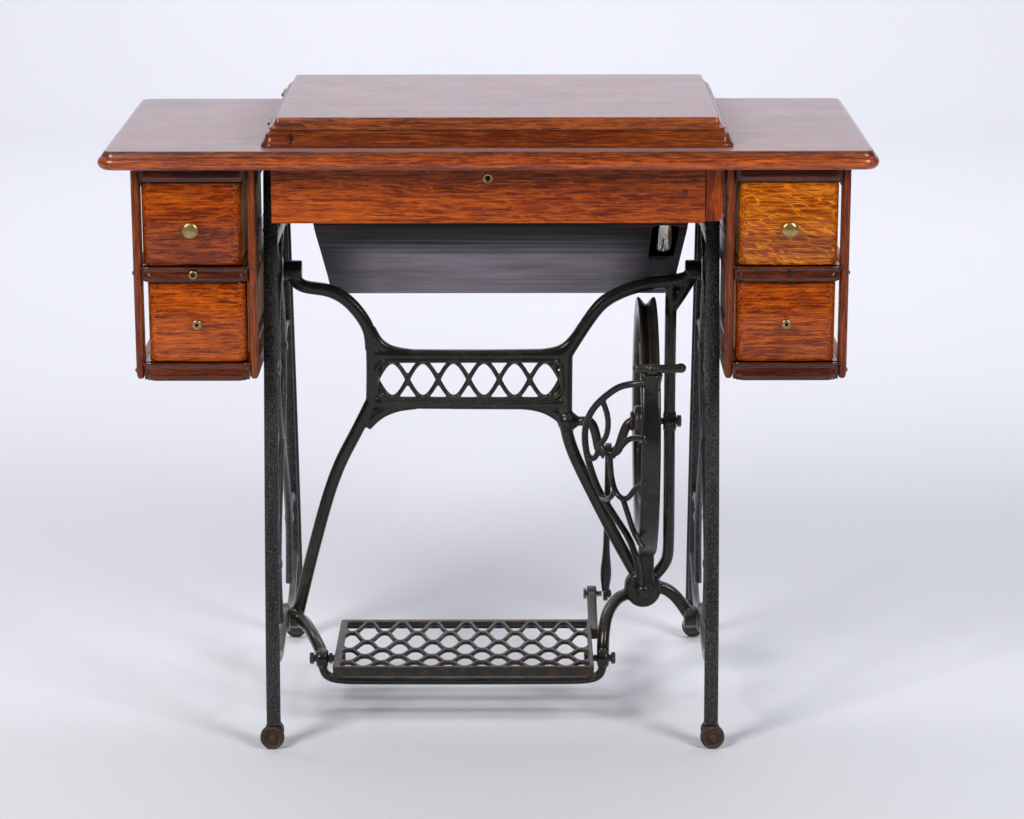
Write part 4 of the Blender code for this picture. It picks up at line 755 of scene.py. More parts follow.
def brace():
    """The casting between the side frames, with a rimmed window filled by two crossing waves."""
    m = Mould()

    def member(width, depth, *points):
        """A bar with its section and its (x, z) points in millimetres."""
        m.bar([(x, BRACE_Y, z) for x, z in mm(*points)], width / 1000, depth / 1000, ALONG_Y)

    reach = FRAME_X - 0.005
    member(16.5, 16, (-156, 452), (-158, 478), (-172, 501), (-191, 521), (-215, 531), (-238, 533),
           (-252, 541), (-256, 556))
    member(16.5, 16, (92, 440), (102, 457), (128, 498), (149, 520), (191, 536.5), (225, 540.5), (250, 545),
           (258, 556))
    member(15.5, 16, (-158, 444.5), (-28, 443), (98, 444.5))
    member(15.5, 16, (-160, 381.5), (-28, 380), (98, 379.5))
    member(16, 16, (-155, 460), (-155, 412), (-156.5, 376))
    member(16.5, 16, (95, 452), (94.5, 412), (94.5, 345))
    member(16.3, 15.6, (-153, 390), (-177, 341), (-197, 304), (-213, 261), (-224, 223), (-239, 168),
           (-257, 94))
    member(16.3, 15.4, (91, 378), (97, 330), (121, 277), (146, 226), (167, 185), (192, 140))
    member(15, 15.2, (228.5, 540), (228, 440), (228.5, 300), (229, 190), (226, 165), (205, 140))
    member(15, 15, (228.5, 505), (240, 522), (258, 552))
    member(16.3, 15, (200, 132), (222, 131), (240, 118), (256, 94))
    member(15, 14, (-164, 350), (-147, 367), (-123, 377), (-100, 379.5))
    member(15, 14, (99, 350), (81, 367), (59, 377), (36, 379.5))
    member(15, 14, (-157, 478), (-147, 459), (-129, 448), (-102, 444))
    member(15, 14, (112, 474), (99, 457), (84, 447.5), (60, 444))
    window = corners((-0.149, 0.388), (0.0885, 0.4375), 0.013, 6)
    path = [Vector((x, BRACE_Y - 0.0072, z)) for x, z in window]
    rings = []
    for i, p in enumerate(path):
        tangent = (path[(i + 1) % len(path)] - path[i - 1]).normalized()
        side = tangent.cross(Vector(ALONG_Y))
        rings.append([p + side * 0.0024 * math.cos(a) + Vector((0, 0.003 * math.sin(a), 0))
                      for a in (2 * math.pi * k / 10 for k in range(10))])
    m.loft(rings, closed=True)
    for x in (-0.1435, 0.083):
        for z in (0.434, 0.3915):
            m.ball((x, BRACE_Y, z), 0.0085, 0.72, ALONG_Y)
    for sign in (1, -1):
        wave = [(-0.149 + 0.236 * k / 48, BRACE_Y - 0.0012,
                 0.412 + sign * 0.0235 * math.sin(math.pi * k / 8)) for k in range(49)]
        m.bar(wave, 0.0062, 0.0086, ALONG_Y, steps=2, sides=12, square=0.9)
    top, foot = FRAME_SCREW_Z
    for x0, x1, z, radius in ((-reach, -0.243, top, 0.0125), (0.246, reach, top, 0.0125),
                              (-reach, -0.25, foot, 0.014), (0.25, reach, foot, 0.014)):
        m.rod((x0, BRACE_Y, z), (x1, BRACE_Y, z), radius)
    m.rod(at(BOSS, y=-0.016), at(BOSS, y=0.01), 0.024, ease=0.003)
    m.ball((0.0965, BRACE_Y, WHEEL.z), 0.0142, 0.95, ALONG_X)
    m.ball((0.0995, BRACE_Y, WHEEL.z), 0.0105, 1.36, ALONG_X)
    m.rod((0.22, BRACE_Y, WHEEL.z), (0.237, BRACE_Y, WHEEL.z), 0.0135, ease=0.002)
    left = mm((-256, 30, 88), (-246, 8, 90), (-232, -30, 83), (-221.5, -54, 71), (-220, -60, 60))
    right = mm((190, 30, 124), (165, 12, 125), (147, -25, 113), (142, -52, 88), (141.5, -60, 60))
    low = mm((-220, -60, 64), (-219, -60, 48), (-207, -60, 35.2), (-150, -60, 34.5), (-36, -60, 34),
             (80, -60, 34.5), (130, -60, 35.5), (140.5, -60, 48), (141.5, -60, 64))
    m.bar(left, 0.0155, 0.015, (0.9, 0.4, 0), square=0.85)
    m.bar(right, 0.0155, 0.0148, (0.82, -0.57, 0), square=0.85)
    m.bar(low, 0.0112, 0.0135, ALONG_Y, square=0.8)
    for x in YOKE_X:
        m.rod((x - 0.0078, *PIVOT.yz), (x + 0.0078, *PIVOT.yz), 0.0125, ease=0.003)
    stand_in(cast(m, "brace_casting", 0.0012, 8), "brace", "brace")
    bolt = Mould().ball(at(BOSS, y=-0.0226), 0.0092, 0.62, ALONG_Y)
    bolt.rod(at(BOSS, y=-0.0234), at(BOSS, y=-0.0212), 0.0096)
    extra(bolt.made("guard_bolt_dome"), "bolt", "stand")


def band_wheel():
    """The grooved flywheel with its six curved spokes."""
    rim = [(WHEEL_RADIUS + out, d) for out, d in mm(
        (-0.8, -12), (0.2, -10.8), (0, -8.8), (-4.5, -4.6), (-8.8, -1.2), (-9.2, 0), (-8.8, 1.2),
        (-4.5, 4.6), (0, 8.8), (0.2, 10.8), (-0.8, 12), (-17.5, 10.8), (-21.5, 7.5), (-22.8, 4),
        (-22.8, -4), (-21.5, -7.5), (-17.5, -10.8))]
    hub = mm((5.2, -15), (18.5, -15), (20.5, -12.5), (21.2, 0), (20.5, 12), (18.5, 14.2), (5.2, 14.2))
    m = Mould()
    m.turned(rim, WHEEL, ALONG_X, 180, closed=True)
    m.turned(hub, WHEEL, ALONG_X, 64, closed=True)
    for k in range(6):
        turn = Matrix.Rotation(2 * math.pi * k / 6, 3, "X")
        arm = mm((0, 0, 16.5), (0, 8, 50), (0, 2, 85), (0, -9, 115), (0, -6, 142))
        m.bar([WHEEL + turn @ Vector(p) for p in arm], 0.0125, 0.0088, ALONG_X,
              taper=lambda t: 1.25 - 0.9 * t + 0.75 * t * t)
    stand_in(cast(m, "band_wheel_casting", 0.0013, 3), "wheel", "band_wheel")


def crank_and_pitman():
    """The cranked shaft of the wheel, and the rod that hangs on its pin."""
    pin = Vector((ROD_X, BRACE_Y, WHEEL.z - THROW))
    m = Mould()
    for route in (((0.124, 0.0), (0.13, -0.006), (0.1345, -0.024), (0.1375, -0.04), (0.144, -THROW)),
                  ((0.182, 0.0), (0.1735, -0.004), (0.167, -0.022), (0.162, -0.0395), (0.155, -THROW))):
        m.bar([(x, BRACE_Y, WHEEL.z + z) for x, z in route], 0.0122, 0.0112, ALONG_Y, square=1.0)
    for x0, x1, z, radius in ((0.1105, 0.127, WHEEL.z, 0.0062), (0.14, 0.159, pin.z, 0.005),
                              (0.178, 0.213, WHEEL.z, 0.0049), (0.1404, 0.144, pin.z, 0.0082),
                              (0.155, 0.1586, pin.z, 0.0082)):
        m.rod((x0, BRACE_Y, z), (x1, BRACE_Y, z), radius)
    m.rod((0.1775, BRACE_Y, WHEEL.z), (0.1822, BRACE_Y, WHEEL.z), 0.013, ease=0.0015)
    stand_in(m.made("crankshaft_turned", 60), "axle", "crankshaft")
    along = (pin - LUG).normalized()
    forward = Vector((0, -along.z, along.y))
    low, top = LUG + along * 0.004, pin - along * 0.007
    m = Mould()
    m.bar([low.lerp(top, t) for t in (0.0, 0.22, 0.55, 1.0)], 0.0085, 0.0062, forward, steps=16,
          taper=lambda t: 1.0 + 0.75 * math.exp(-((t - 0.22) / 0.17) ** 2))
    strap = mm((5.3, -4.4), (11.5, -4.4), (12.5, -3.4), (12.5, 3.4), (11.5, 4.4), (5.3, 4.4))
    m.turned(strap, pin, ALONG_X, 40, closed=True)
    m.rod(at(LUG, -0.0032), at(LUG, 0.0032), 0.0098)
    stand_in(cast(m, "pitman_rod", 0.0011, 3), "iron", "pitman")
    nut = Mould().nut(at(LUG, 0.0034), ALONG_X, 0.011, 0.0034)
    nut.ball(at(LUG, 0.0068), 0.004, 0.4, ALONG_X)
    extra(nut.made("pitman_foot_nut"), "bolt", "pitman")


def foot_plate():
    """The treadle: rows of staggered arches inside a raised rim."""
    x0, x1 = TREADLE_X
    y0, y1 = -TREADLE_HALF, TREADLE_HALF
    m = Mould()
    pitch, first, steps = 0.0425, -0.1625, 96
    far = y1 - 0.0095
    for row, share in enumerate((0.225, 0.205, 0.18, 0.14, 0.135, 0.115)):
        gap = (y1 - y0 - 0.017) * share
        base = far - gap / 2
        far -= gap
        shift = 0.5 if row % 2 else 0.0
        line = []
        for k in range(steps + 1):
            x = x0 + 0.004 + (x1 - x0 - 0.008) * k / steps
            c = math.cos(2 * math.pi * ((x - first) / pitch - shift))
            line.append((x, base + gap * 0.53 * math.copysign(abs(c) ** 0.8, c), -0.002))
        m.bar(line, 0.0058, 0.0062, UP, steps=1, sides=12, square=0.85)
    rim = [(x, y1 - 0.0048, -0.0022) for x in (x0 + 0.004, x1 - 0.004)]
    m.bar(rim, 0.0105, 0.007, UP, steps=2, square=0.5)
    m.block((x0 + 0.002, y1 - 0.004, -0.011), (x1 - 0.002, y1 - 0.0002, 0.0014))
    m.block((x0 + 0.003, y0 + 0.0002, -0.004), (x1 - 0.003, y0 + 0.0095, 0.0004))
    m.block((x0 + 0.004, y0 - 0.0004, -0.0112), (x1 - 0.004, y0 + 0.0042, 0.0016))
    for x, low, high in ((x0, x0, x0 + 0.009), (x1 - 0.005, x1 - 0.0054, x1)):
        m.block((x, y0 + 0.004, -0.018), (x + 0.005, y1 - 0.006, 0.0026))
        m.block((low, y0 + 0.002, -0.005), (high, y1 - 0.002, 0.0006))
    m.moved(Matrix.Translation((0, PIVOT.y, TREADLE_TOP)) @ Matrix.Rotation(-TREADLE_SLOPE, 4, "X"))
    lug_x = x1 + 0.0035
    m.bar([(lug_x, y, z) for y, z in ((0.0, 0.076), (0.04, 0.0775), (0.075, 0.083), LUG.yz)], 0.015, 0.012,
          ALONG_X, square=0.5)
    m.rod((lug_x - 0.0064, *LUG.yz), (lug_x + 0.0064, *LUG.yz), 0.0105, ease=0.001)
    for x in (x0 + 0.0004, x1 - 0.0104):
        m.rod((x, *PIVOT.yz), (x + 0.01, *PIVOT.yz), 0.0105, ease=0.001)
    stand_in(cast(m, "treadle_casting", 0.0012, 3), "treadle", "treadle")


def guard():
    """The dress guard: a strip in front of the wheel and a net of branching rods."""
    radius = WHEEL_RADIUS + 0.011
    half, start, end, steps, pinched = 0.0122, 146, 262, 60, 46
    m = Mould()
    rings = []
    for s in range(steps + 1):
        angle = math.radians(start + (end - start) * s / steps)
        y, z = math.cos(angle), math.sin(angle)
        pinch = 1.0 - 0.2 * max(0.0, (s - pinched) / (steps - pinched))
        rings.append([(WHEEL.x + dx * pinch, BRACE_Y + r * y, WHEEL.z + r * z) for dx, r in (
            (-half, radius + 0.002), (-half + 0.003, radius + 0.0036), (half - 0.003, radius + 0.0036),
            (half, radius + 0.002), (half, radius), (-half, radius))])
    m.loft(rings)
    m.bar([(WHEEL.x, BRACE_Y - 0.024, WHEEL.z - radius - 0.0005), (WHEEL.x, BRACE_Y - 0.0235, 0.16),
           (WHEEL.x - 0.001, BRACE_Y - 0.0206, 0.136)], 0.0235, 0.0056, ALONG_Y, square=0.6)
    m.rod(at(BOSS, y=-0.0164), at(BOSS, y=-0.0216), 0.0228, ease=0.0022)
    edge = mm((191.5, -121.5, 444.5), (174.8, -118, 442.5), (158.6, -108, 436.5), (145.1, -98, 424.5),
              (126.3, -83, 402.5), (116.3, -68, 373), (118.5, -58, 339), (126.5, -53, 310),
              (136, -50, 284), (151, -45, 258), (164, -36, 235), (180, -22, 205), (190, -6, 160),
              (193.5, 8.4, 140))
    m.bar(edge, 0.0088, 0.0088, (0.5, 0.8, 0), square=1.0)
    net = [
        mm((137.5, -92, 415.5), (145.5, -96, 394), (144, -88, 368), (136, -78, 354)),
        mm((136, -78, 354), (148, -92, 340), (160, -104, 356), (172, -118, 374), (191.5, -143.5, 378)),
        mm((119, -56.5, 336), (129, -68, 330), (136, -78, 354)),
        mm((148, -92, 340), (150, -90, 312), (157, -96, 292), (170, -108, 290), (178, -118, 308),
           (191.5, -141.5, 323)),
        mm((154, -93, 298), (147, -75, 280), (139, -49, 278)),
        mm((164, -103, 290), (172, -98, 264), (180, -98, 240), (191.5, -109, 226)),
    ]
    for points in net:
        m.bar(points, 0.0074, 0.0074, (0.5, 0.8, 0.1), square=1.0)
    m.turned(mm((0, -31), (4.8, -30), (8.5, -20), (11.5, -8), (12.4, -2), (0, -2)),
             (WHEEL.x + 0.002, -0.1215, 0.458), (0, -0.05, 1))
    stand_in(cast(m, "dress_guard_casting", 0.0011, 5), "guard", "dress_guard")
    foot = (WHEEL.x + 0.001, -0.1235, 0.4585)
    lever = ((-0.02, 0.002, 0.0045), (-0.008, 0.0, 0.0045), (0.016, 0.001, 0.004), (0.036, 0.004, 0.0044))
    m = Mould()
    m.turned(mm((0, -2), (7.2, -2), (8.2, 1), (7.8, 7), (6, 9.5), (4, 10.8), (0, 11.2)), foot, UP)
    m.bar([at(foot, *p) for p in lever], 0.0108, 0.0104, UP, square=0.95, taper=lambda t: 0.9 + 0.35 * t)
    m.ball(at(foot, 0.0355, 0.004, 0.0044), 0.0068, 0.9)
    m.ball(at(foot, -0.0195, 0.002, 0.0045), 0.005, 0.85)
    stand_in(cast(m, "belt_shifter_lever", 0.0007, 5), "worn", "belt_shifter")


def small_iron():
    """The casters, and the screws that the treadle and the wheel turn on."""
    tread = mm((0, -6.2), (11.5, -6.2), (13.8, -5.2), (14.7, -4), (15, -2), (15, 2.2), (14.6, 4),
               (13.4, 5.2), (12.2, 5.6), (10.8, 4.6), (6.6, 4.6), (5.8, 6.6), (5.2, 8), (3.4, 9), (0, 9.2))
    for side, hand in ((-1, "left"), (1, "right")):
        for turn, end in ((-1, "front"), (1, "rear")):
            name = f"caster_{end}_{hand}"
            centre = (side * FOOT_X, turn * (FOOT_Y + 0.003), CASTER_RADIUS)
            m = Mould().turned(tread, centre, (0, turn, 0), 64)
            stand_in(m.made(name + "_wheel", 50), "rust", name)
    y, z = PIVOT.yz
    screws = (
        ("treadle_screw_left", (TREADLE_X[0] - GAP, y, z), (-0.236, y, z)),
        ("treadle_screw_right", (TREADLE_X[1] + GAP, y, z), (0.1575, y, z)),
        ("axle_screw_right", (0.2133, BRACE_Y, WHEEL.z), (0.2435, BRACE_Y, WHEEL.z)),
    )
    for name, tip, head in screws:
        tip, head = Vector(tip), Vector(head)
        way = (head - tip).normalized()
        length = (head - tip).length
        shank = [(0, 0), (0.002, 0.0), (0.0044, 0.003), (0.0044, length - 0.005), (0, length - 0.005)]
        m = Mould().turned(shank, tip, way)
        m.nut(tip + way * (length - 0.0056), way, 0.0138, 0.0056)
        if name.startswith("treadle"):
            m.nut(tip + way * 0.006, way, 0.0125, 0.0045)
        stand_in(m.made(name + "_bolt"), "bolt", name)


# ---------------------------------------------------------------- joinery

def profile_board(name, half, radius, centre, profile, holes=()):
    """A board whose edge follows a moulded profile of (outset, height) pairs, as rings round it."""
    m = Mould()
    rings = []
    (first, bottom), (last, top) = profile[0], profile[-1]
    for outset, z in ((first - FLAT_RING, bottom), *profile, (last - FLAT_RING, top)):
        low = (centre[0] - half[0] - outset, centre[1] - half[1] - outset)
        high = (centre[0] + half[0] + outset, centre[1] + half[1] + outset)
        rings.append([(x, y, z) for x, y in corners(low, high, max(radius + outset, 0.001), 6)])
    m.loft(rings)
    thing = m.made(name, 40)
    for low, high in holes:
        cutter = Mould().block(low, high).made("cutter")
        cut = thing.modifiers.new("hole", "BOOLEAN")
        cut.operation = "DIFFERENCE"
        cut.solver = "EXACT"
        cut.object = cutter
        baked(thing)
        bpy.data.objects.remove(cutter, do_unlink=True)
    thing.data.shade_smooth()
    thing.data.set_sharp_from_angle(angle=math.radians(42))
    return thing


def arc(centre, radius, start, end, steps):
    """Points along an arc, as pairs. Angles are in degrees."""
    angles = [math.radians(start + (end - start) * k / steps) for k in range(steps + 1)]
    return [(centre[0] + radius * math.cos(a), centre[1] + radius * math.sin(a)) for a in angles]


def raised(base, pairs):
    """A profile of (outset, height) pairs, lifted to a base."""
    return [(outset, base + height) for outset, height in pairs]


def tabletop():
    """The leaf, the moulded surround of the well, and the lid."""
    below, above = TOP_Z - 0.15, TOP_Z + 0.15
    well = ((WELL_X[0], WELL_Y[0], below), (WELL_X[1], WELL_Y[1], above))
    bead = arc((0.0022, TOP_Z - 0.0142), 0.008, -82, 62, 10)
    upper = mm((5, -6.2), (4.6, -5), (3.6, -3.6), (2.6, -1.6), (1.4, -0.4), (0, 0))
    edge = [*raised(TOP_Z, mm((0, -22.4), (2, -22.4))), *bead, *raised(TOP_Z, upper)]
    stand_in(profile_board("leaf_board", LEAF_HALF, 0.01, LEAF_CENTRE, edge, [well]), "leaf", "table_top")

    base = TOP_Z + GAP
    top = TOP_Z + SURROUND
    hole = ((WELL_X[0] - 0.006, WELL_Y[0] - 0.0005, below), (WELL_X[1] + 0.006, WELL_Y[1] + 0.01, above))
    cove = raised(base, mm((0, 0), (9.5, 0), (9.6, 2), (9, 3.6), (6.8, 6), (5, 9.2), (4, 12.8),
                           (3.6, 15.2), (1, 17), (-1.2, 18.2)))
    cove += [(-0.0016, top - 0.0002), (-0.003, top)]
    stand_in(profile_board("surround_moulding", LID_HALF, 0.004, LID_CENTRE, cove, [hole]), "moulding",
             "lid_surround")
    joint = (-0.2395, LID_CENTRE[1] - LID_HALF[1], base)
    m = Mould().block(at(joint, -0.0004, -0.0092, 0.0005), at(joint, 0.0004, -0.003, 0.017))
    extra(m.made("surround_joint"), "gap", "stand")

    base = TOP_Z + SURROUND + GAP
    shape = raised(base, mm((-3, 0), (-1, 0), (0.4, 0.6), (0.6, 1.8), (-0.4, 2.8), (-2.2, 3.6),
                            (-4.4, 5.4), (-6.6, 8), (-8, 10.6), (-8.6, 12.6), (-9.2, 13.7), (-10.4, 14)))
    stand_in(profile_board("lid_board", LID_HALF, 0.012, LID_CENTRE, shape), "lid", "lid")

    for name, y in (("lid_hinge_front", -0.1075), ("lid_hinge_rear", 0.1225)):
        x = LID_CENTRE[0] - LID_HALF[0] - 0.0026
        m = Mould()
        for k in range(5):
            start = y - 0.022 + 0.0088 * k
            knuckle = (x, start, base - 0.0002)
            m.rod(at(knuckle, y=0.0001), at(knuckle, y=0.0087), 0.0021, 24, 0.0003)
        m.block((x - 0.0006, y - 0.0216, base - 0.0033), (x + 0.0022, y + 0.0216, base - 0.0012))
        stand_in(m.made(name + "_knuckles"), "brass", name)


def under_leaf():
    """The front flap with its lock, and the rails round the well."""
    stand_in(eased_copy("front_flap", 0.001, 3), "flap", "front_flap")
    centre = Vector((-0.0036, APRON_FRONT - GAP, 0.7137))
    ring = mm((3, 0), (6.4, 0), (6.6, 0.6), (6, 1.4), (4.8, 1.8), (3.6, 1.4), (3, 0.8))
    m = Mould().turned(ring, centre, FORWARD, 48, closed=True)
    stand_in(m.made("flap_keyhole_ring", 60), "brass", "flap_escutcheon")
    m = Mould().rod(at(centre, y=0.0002), at(centre, y=-0.0004), 0.0032, 32, 0.0001)
    extra(m.made("flap_keyhole"), "gap", "front_flap")
    plug = mm((0, 0), (3.6, 0), (3.8, 0.3), (3.4, 0.7), (0, 0.8))
    m = Mould().turned(plug, (0.2325, APRON_FRONT - 0.0001, 0.696), FORWARD, 32)
    extra(m.made("flap_plug"), "rail", "front_flap")

    foot = APRON_Z + 0.002
    x0, x1, r = 0.2576, 0.2782, 0.007
    cheek = [(x0, UNDER), (x0, foot), *arc((x1 - r, foot + r), r, -90, 0, 8), (x1, UNDER)]
    m = Mould().prism(cheek, APRON_FRONT, -0.15)
    extra(eased(m.made("cheek_block"), 0.001, 3, 50), "cheek", "stand")
    m = Mould().block((RAIL_INNER, APRON_FRONT + 0.0165, foot), (0.2572, RAIL_REAR, UNDER))
    stand_in(eased(m.made("rail_right_board"), 0.001), "side_rail", "rail_right")
    for name, look in (("rail_left", "side_rail"), ("rear_rail", "rail")):
        stand_in(eased_copy(name, 0.001, 3), look, name)
    stand_in(eased_copy("belly_pan", 0.0012, 3, 30), "pan", "belly_pan")


def plan(middle, z, half, front, radius, back, steps=8):
    """A ring at one height, seen from above as a rectangle with rounded front corners."""
    left = arc((-half + radius, front + radius), radius, 180, 270, steps)
    right = arc((half - radius, front + radius), radius, 270, 360, steps)
    return [(middle + x, y, z) for x, y in ((-half, back), *left, *right, (half, back))]


def moulded_rail(name, middle, z0, z1, profile, body_half, board):
    """A front rail: a moulded nose before the posts, a tongue between them, and for a shelf its board."""
    height, back = z1 - z0, CASE_FRONT - 0.0006
    m = Mould().loft([plan(middle, z0 + height * share, half, CASE_FRONT - out, radius, back)
                      for share, out, half, radius in profile])
    x0, x1 = middle - body_half, middle + body_half
    m.block((x0, CASE_FRONT - 0.001, z0 + 0.0012), (x1, CASE_FRONT + 0.014, z1))
    if board:
        m.block((x0, CASE_FRONT + 0.01, z1 - 0.0105), (x1, CASE_REAR - 0.018, z1 - 0.0006))
    return m.made(name, 50)


def case_panel(name, side, span):
    """One side of a drawer case: bullnosed posts with tapered feet, and three slats."""
    low, high = sorted((side * span[0], side * span[1]))
    middle, half = (low + high) / 2, (high - low) / 2
    m = Mould()
    for nose, back, turn in ((CASE_FRONT, CASE_FRONT + 0.0175, -1), (CASE_REAR, CASE_REAR - 0.016, 1)):
        rings = []
        for z, shrink in ((CASE_FOOT, 0.5), (CASE_FOOT + 0.001, 0.7), (CASE_FOOT + 0.003, 0.86),
                          (CASE_FOOT + 0.0065, 0.97), (CASE_FOOT + 0.012, 1.0), (UNDER, 1.0)):
            w = turn * half * shrink
            tip = arc((middle, nose - turn * half), w, 0, 180, 12)
            rings.append([(x, y, z) for x, y in (*tip, (middle - w, back), (middle + w, back))])
        m.loft(rings)
    for z0, z1 in ((CASE_FOOT, 0.487), (0.5905, 0.6065), (0.7, UNDER)):
        slat = corners((CASE_FRONT + 0.016, z0 + 0.0002), (CASE_REAR - 0.015, z1), 0.0015, 3)
        m.loft([[(x, y, z) for y, z in slat] for x in (low + 0.0012, high - 0.0012)])
    stand_in(m.made(name + "_frame", 50), "post", name)


def drawer_box(place, middle, z0, z1):
    """A drawer with a rolled front and an open box behind it."""
    name = "drawer_" + place
    x = middle + DRAWER_SHIFT[place]
    half, roll = DRAWER_WIDTH / 2, 0.013
    back = CASE_FRONT + 0.0145
    m = Mould().loft([plan(x, z, half - inset, CASE_FRONT + inset, roll, back, 12) for z, inset in (
        (z0, 0.0012), (z0 + 0.0004, 0.0004), (z0 + 0.0014, 0.0), (z1 - 0.0014, 0.0), (z1 - 0.0004, 0.0004),
        (z1, 0.0012))])
    stand_in(m.made(name + "_front", 50), name, name)
    outer, wall = half - 0.0025, 0.0068
    y0, y1, low, top = back + 0.0002, DRAWER_BACK, z0 + 0.0006, z1 - 0.01
    left, right = x - outer + wall, x + outer - wall
    m = Mould()
    m.block((x - outer, y0, low), (left, y1, top))
    m.block((right, y0, low), (x + outer, y1, top))
    m.block((left, y1 - wall, low), (right, y1, top))
    m.block((left, y0, low + 0.0016), (right, y1 - wall, low + 0.0054))
    extra(eased(m.made(name + "_box"), 0.0006, 2), "box_wood", name)


def knob(name, middle):
    """A turned brass pull: a mushroom on an upper drawer, and a bored stud on a lower one."""
    upper = name.startswith("upper")
    place = (middle + DRAWER_SHIFT[name], CASE_FRONT - GAP, 0.6545 if upper else 0.538)
    if upper:
        profile = mm((0, 0), (6.6, 0), (6.8, 0.6), (6.2, 1.6), (4.6, 3), (4.1, 4.5), (4.3, 6.8), (6, 9.2),
                     (8.8, 10.8), (10.1, 12.2), (10.4, 13.6), (10.2, 15.2), (9.2, 16.6), (7, 17.6),
                     (3.8, 18.2), (0, 18.4))
    else:
        profile = mm((0, 0), (4.6, 0), (4.7, 0.6), (4.1, 2), (4, 4), (4.8, 5.8), (6, 7.6), (6.3, 9),
                     (6.2, 10.4), (5.2, 11.5), (3.6, 12), (2.2, 11.9), (1.9, 10.5), (1.8, 7), (0, 6.6))
    m = Mould().turned(profile, place, FORWARD, 64)
    stand_in(m.made(f"knob_{name}_turned", 60), "brass", f"knob_{name}")
    if not upper:
        m = Mould().rod(at(place, y=-0.0066), at(place, y=-0.0072), 0.0017, 16, 0.0001)
        extra(m.made(f"knob_{name}_bore"), "gap", f"drawer_{name}")


def drawer_cases():
    """Both cases with their drawers.

    A rail's profile gives its share of the height, its outset, its half width and its corner radius.
    """
    lip = [(0.0, 0.0044, 0.0586, 0.0096), (0.04, 0.0056, 0.06, 0.0108),
           (0.12, 0.0068, 0.0618, 0.012), (0.26, 0.0074, 0.0632, 0.0126),
           (0.42, 0.0068, 0.0633, 0.012), (0.56, 0.0052, 0.063, 0.0106),
           (0.7, 0.0044, 0.0632, 0.0098), (0.8, 0.0048, 0.064, 0.0104),
           (0.88, 0.006, 0.0654, 0.0116), (0.95, 0.0064, 0.0662, 0.0118),
           (1.0, 0.0058, 0.0658, 0.0114)]
    crown = [(0.0, 0.0036, 0.0622, 0.009), (0.14, 0.005, 0.0632, 0.0104),
             (0.4, 0.0056, 0.0638, 0.011), (0.7, 0.0044, 0.0638, 0.0098),
             (1.0, 0.004, 0.065, 0.0094)]
    for side, hand in ((-1, "left"), (1, "right")):
        middle = side * (CASE_INNER[1] + CASE_OUTER[0]) / 2
        body_half = (CASE_OUTER[0] - CASE_INNER[1]) / 2 - GAP
        case_panel(f"case_side_inner_{hand}", side, CASE_INNER)
        case_panel(f"case_side_outer_{hand}", side, CASE_OUTER)
        rails = (("case_top_rail", CASE_TOP, UNDER, crown, False), ("middle_shelf", *MID_SHELF, lip, True),
                 ("bottom_shelf", *LOW_SHELF, lip, True))
        for name, z0, z1, profile, board in rails:
            rail = moulded_rail(f"{name}_{hand}_moulding", middle, z0, z1, profile, body_half, board)
            stand_in(rail, "rail", f"{name}_{hand}")
        heads = Mould()
        for z in (0.598, 0.4775):
            heads.ball((side * (CASE_OUTER[1] + 0.0002), CASE_FRONT + 0.0085, z), 0.0028, 0.6, ALONG_X)
        extra(heads.made(f"case_screws_{hand}"), "bolt", "stand")
        upper, lower = f"upper_{hand}", f"lower_{hand}"
        drawer_box(upper, middle, MID_SHELF[1] + 0.0008, CASE_TOP - 0.0012)
        drawer_box(lower, middle, LOW_SHELF[1] + 0.0008, MID_SHELF[0] - 0.0012)
        knob(upper, middle)
        knob(lower, middle)
    hole = Vector((-0.358, CASE_FRONT - 0.0066, 0.5985))
    ring = mm((2.6, 0), (4.8, 0), (5, 1), (4.2, 1.6), (3, 1.4))
    m = Mould().turned(ring, hole, FORWARD, 40, closed=True)
    extra(m.made("left_lock_ring", 60), "brass", "stand")
    m = Mould().rod(at(hole, y=0.0006), at(hole, y=-0.0006), 0.0029, 24, 0.0001)
    extra(m.made("left_lock_hole"), "gap", "stand")
    hole = Vector((0.358, CASE_FRONT - 0.0062, 0.599))
    m = Mould().rod(at(hole, y=0.0006), at(hole, y=-0.0006), 0.0031, 24, 0.0001)
    m.block(at(hole, -0.0012, -0.0004, -0.005), at(hole, 0.0012, 0.0006))
    extra(m.made("right_lock_hole"), "gap", "stand")


# ---------------------------------------------------------------- sewing head

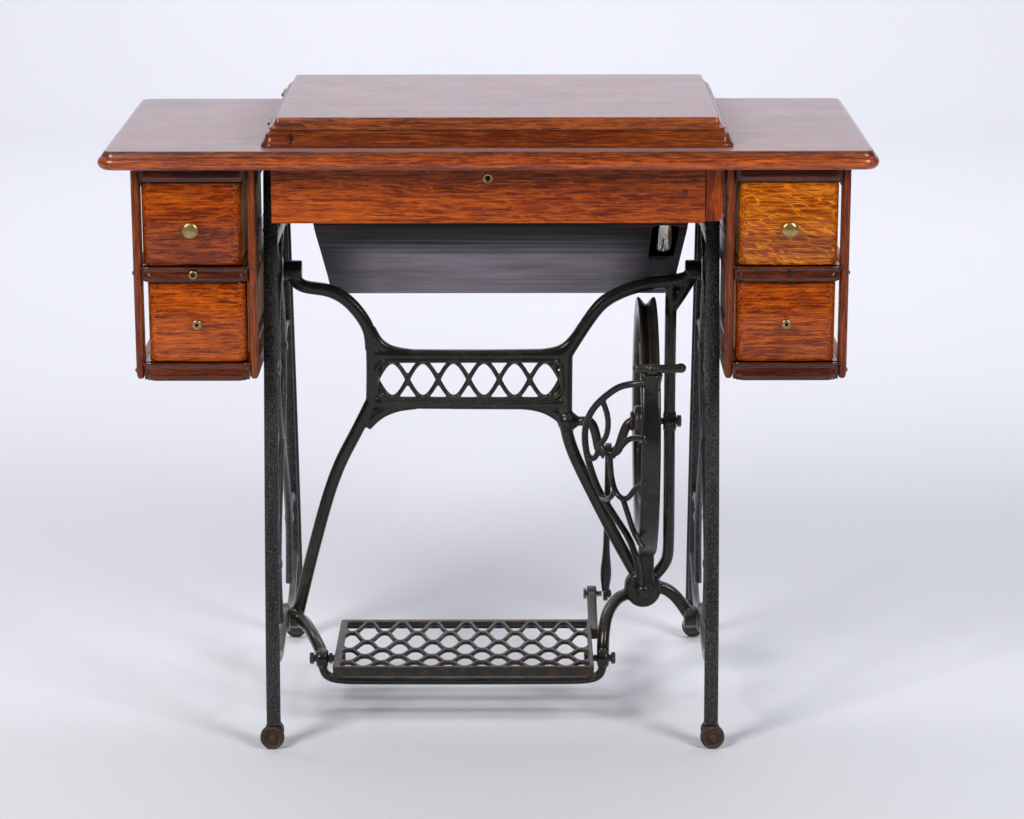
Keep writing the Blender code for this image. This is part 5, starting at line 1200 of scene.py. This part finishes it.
def sewing_head():
    """The head's arm, bed, plates and hand wheel, folded down into the well."""
    folded = Matrix.Translation(HEAD_HINGE) @ Matrix.Rotation(HEAD_DROP, 4, "X")
    outline = mm((152, 8.3), (150, 50), (150, 150), (143, 185), (120, 202), (70, 203), (-50, 193),
                 (-120, 196), (-148, 196), (-155, 188), (-155, 85), (-118, 85), (-114, 120), (-100, 143),
                 (-60, 150), (30, 150), (65, 138), (80, 100), (78, 40), (68, 8.3))
    m = Mould()
    m.prism(outline, ARM_Y - 0.0175, ARM_Y + 0.0175)
    m.rod((0.14, ARM_Y, SHAFT_Z), (0.1895, ARM_Y, SHAFT_Z), 0.0165, ease=0.002)
    m.block((0.0605, ARM_Y - 0.0255, 0.0086), (0.1595, ARM_Y + 0.0255, 0.0155))
    stand_in(cast(m.moved(folded), "head_arm_casting", 0.002, 14), "head", "head_arm")
    for name, look, width in (("head_bed", "head", 0.001), ("face_plate", "nickel", 0.0008),
                              ("slide_plate", "nickel", 0.0004)):
        stand_in(eased_copy(name, width, 3), look, name)
    r = HAND_WHEEL_RADIUS * 1000
    side = [(0, 16), (14.5, 16), (15.5, 15), (16, 7.5), (19, 5.5), (48, 3.2), (r - 12.5, 3.6),
            (r - 10.5, 6.6), (r - 8, 8.2), (r - 4.5, 8.6)]
    tip = [(r - 1.8, -7.2), (r - 0.2, -4), (r, 0), (r - 0.4, 3.6), (r - 2, 7)]
    boss = [(15.5, 12), (14, 13.4), (8, 13.9), (0, 14)]
    near = [(radius, -d) for radius, d in side]
    wheel = mm(*near, *tip, *reversed(side[3:]), *boss)
    m = Mould().turned(wheel, (HAND_WHEEL_X, ARM_Y, SHAFT_Z), ALONG_X, 128)
    stand_in(m.moved(folded).made("hand_wheel_turned", 45), "nickel", "hand_wheel")


# ---------------------------------------------------------------- run

def main():
    camera()
    studio()
    floor()
    for side in (-1, 1):
        leg_frame(side)
    brace()
    band_wheel()
    crank_and_pitman()
    foot_plate()
    guard()
    small_iron()
    tabletop()
    under_leaf()
    drawer_cases()
    sewing_head()
    for name, node in NODES.items():
        if not node.hide_render:
            slot = node.data.materials[0].name.split(".")[0] if node.data.materials else ""
            dress(node, slot if slot in ("steel", "nickel") else "iron")


main()
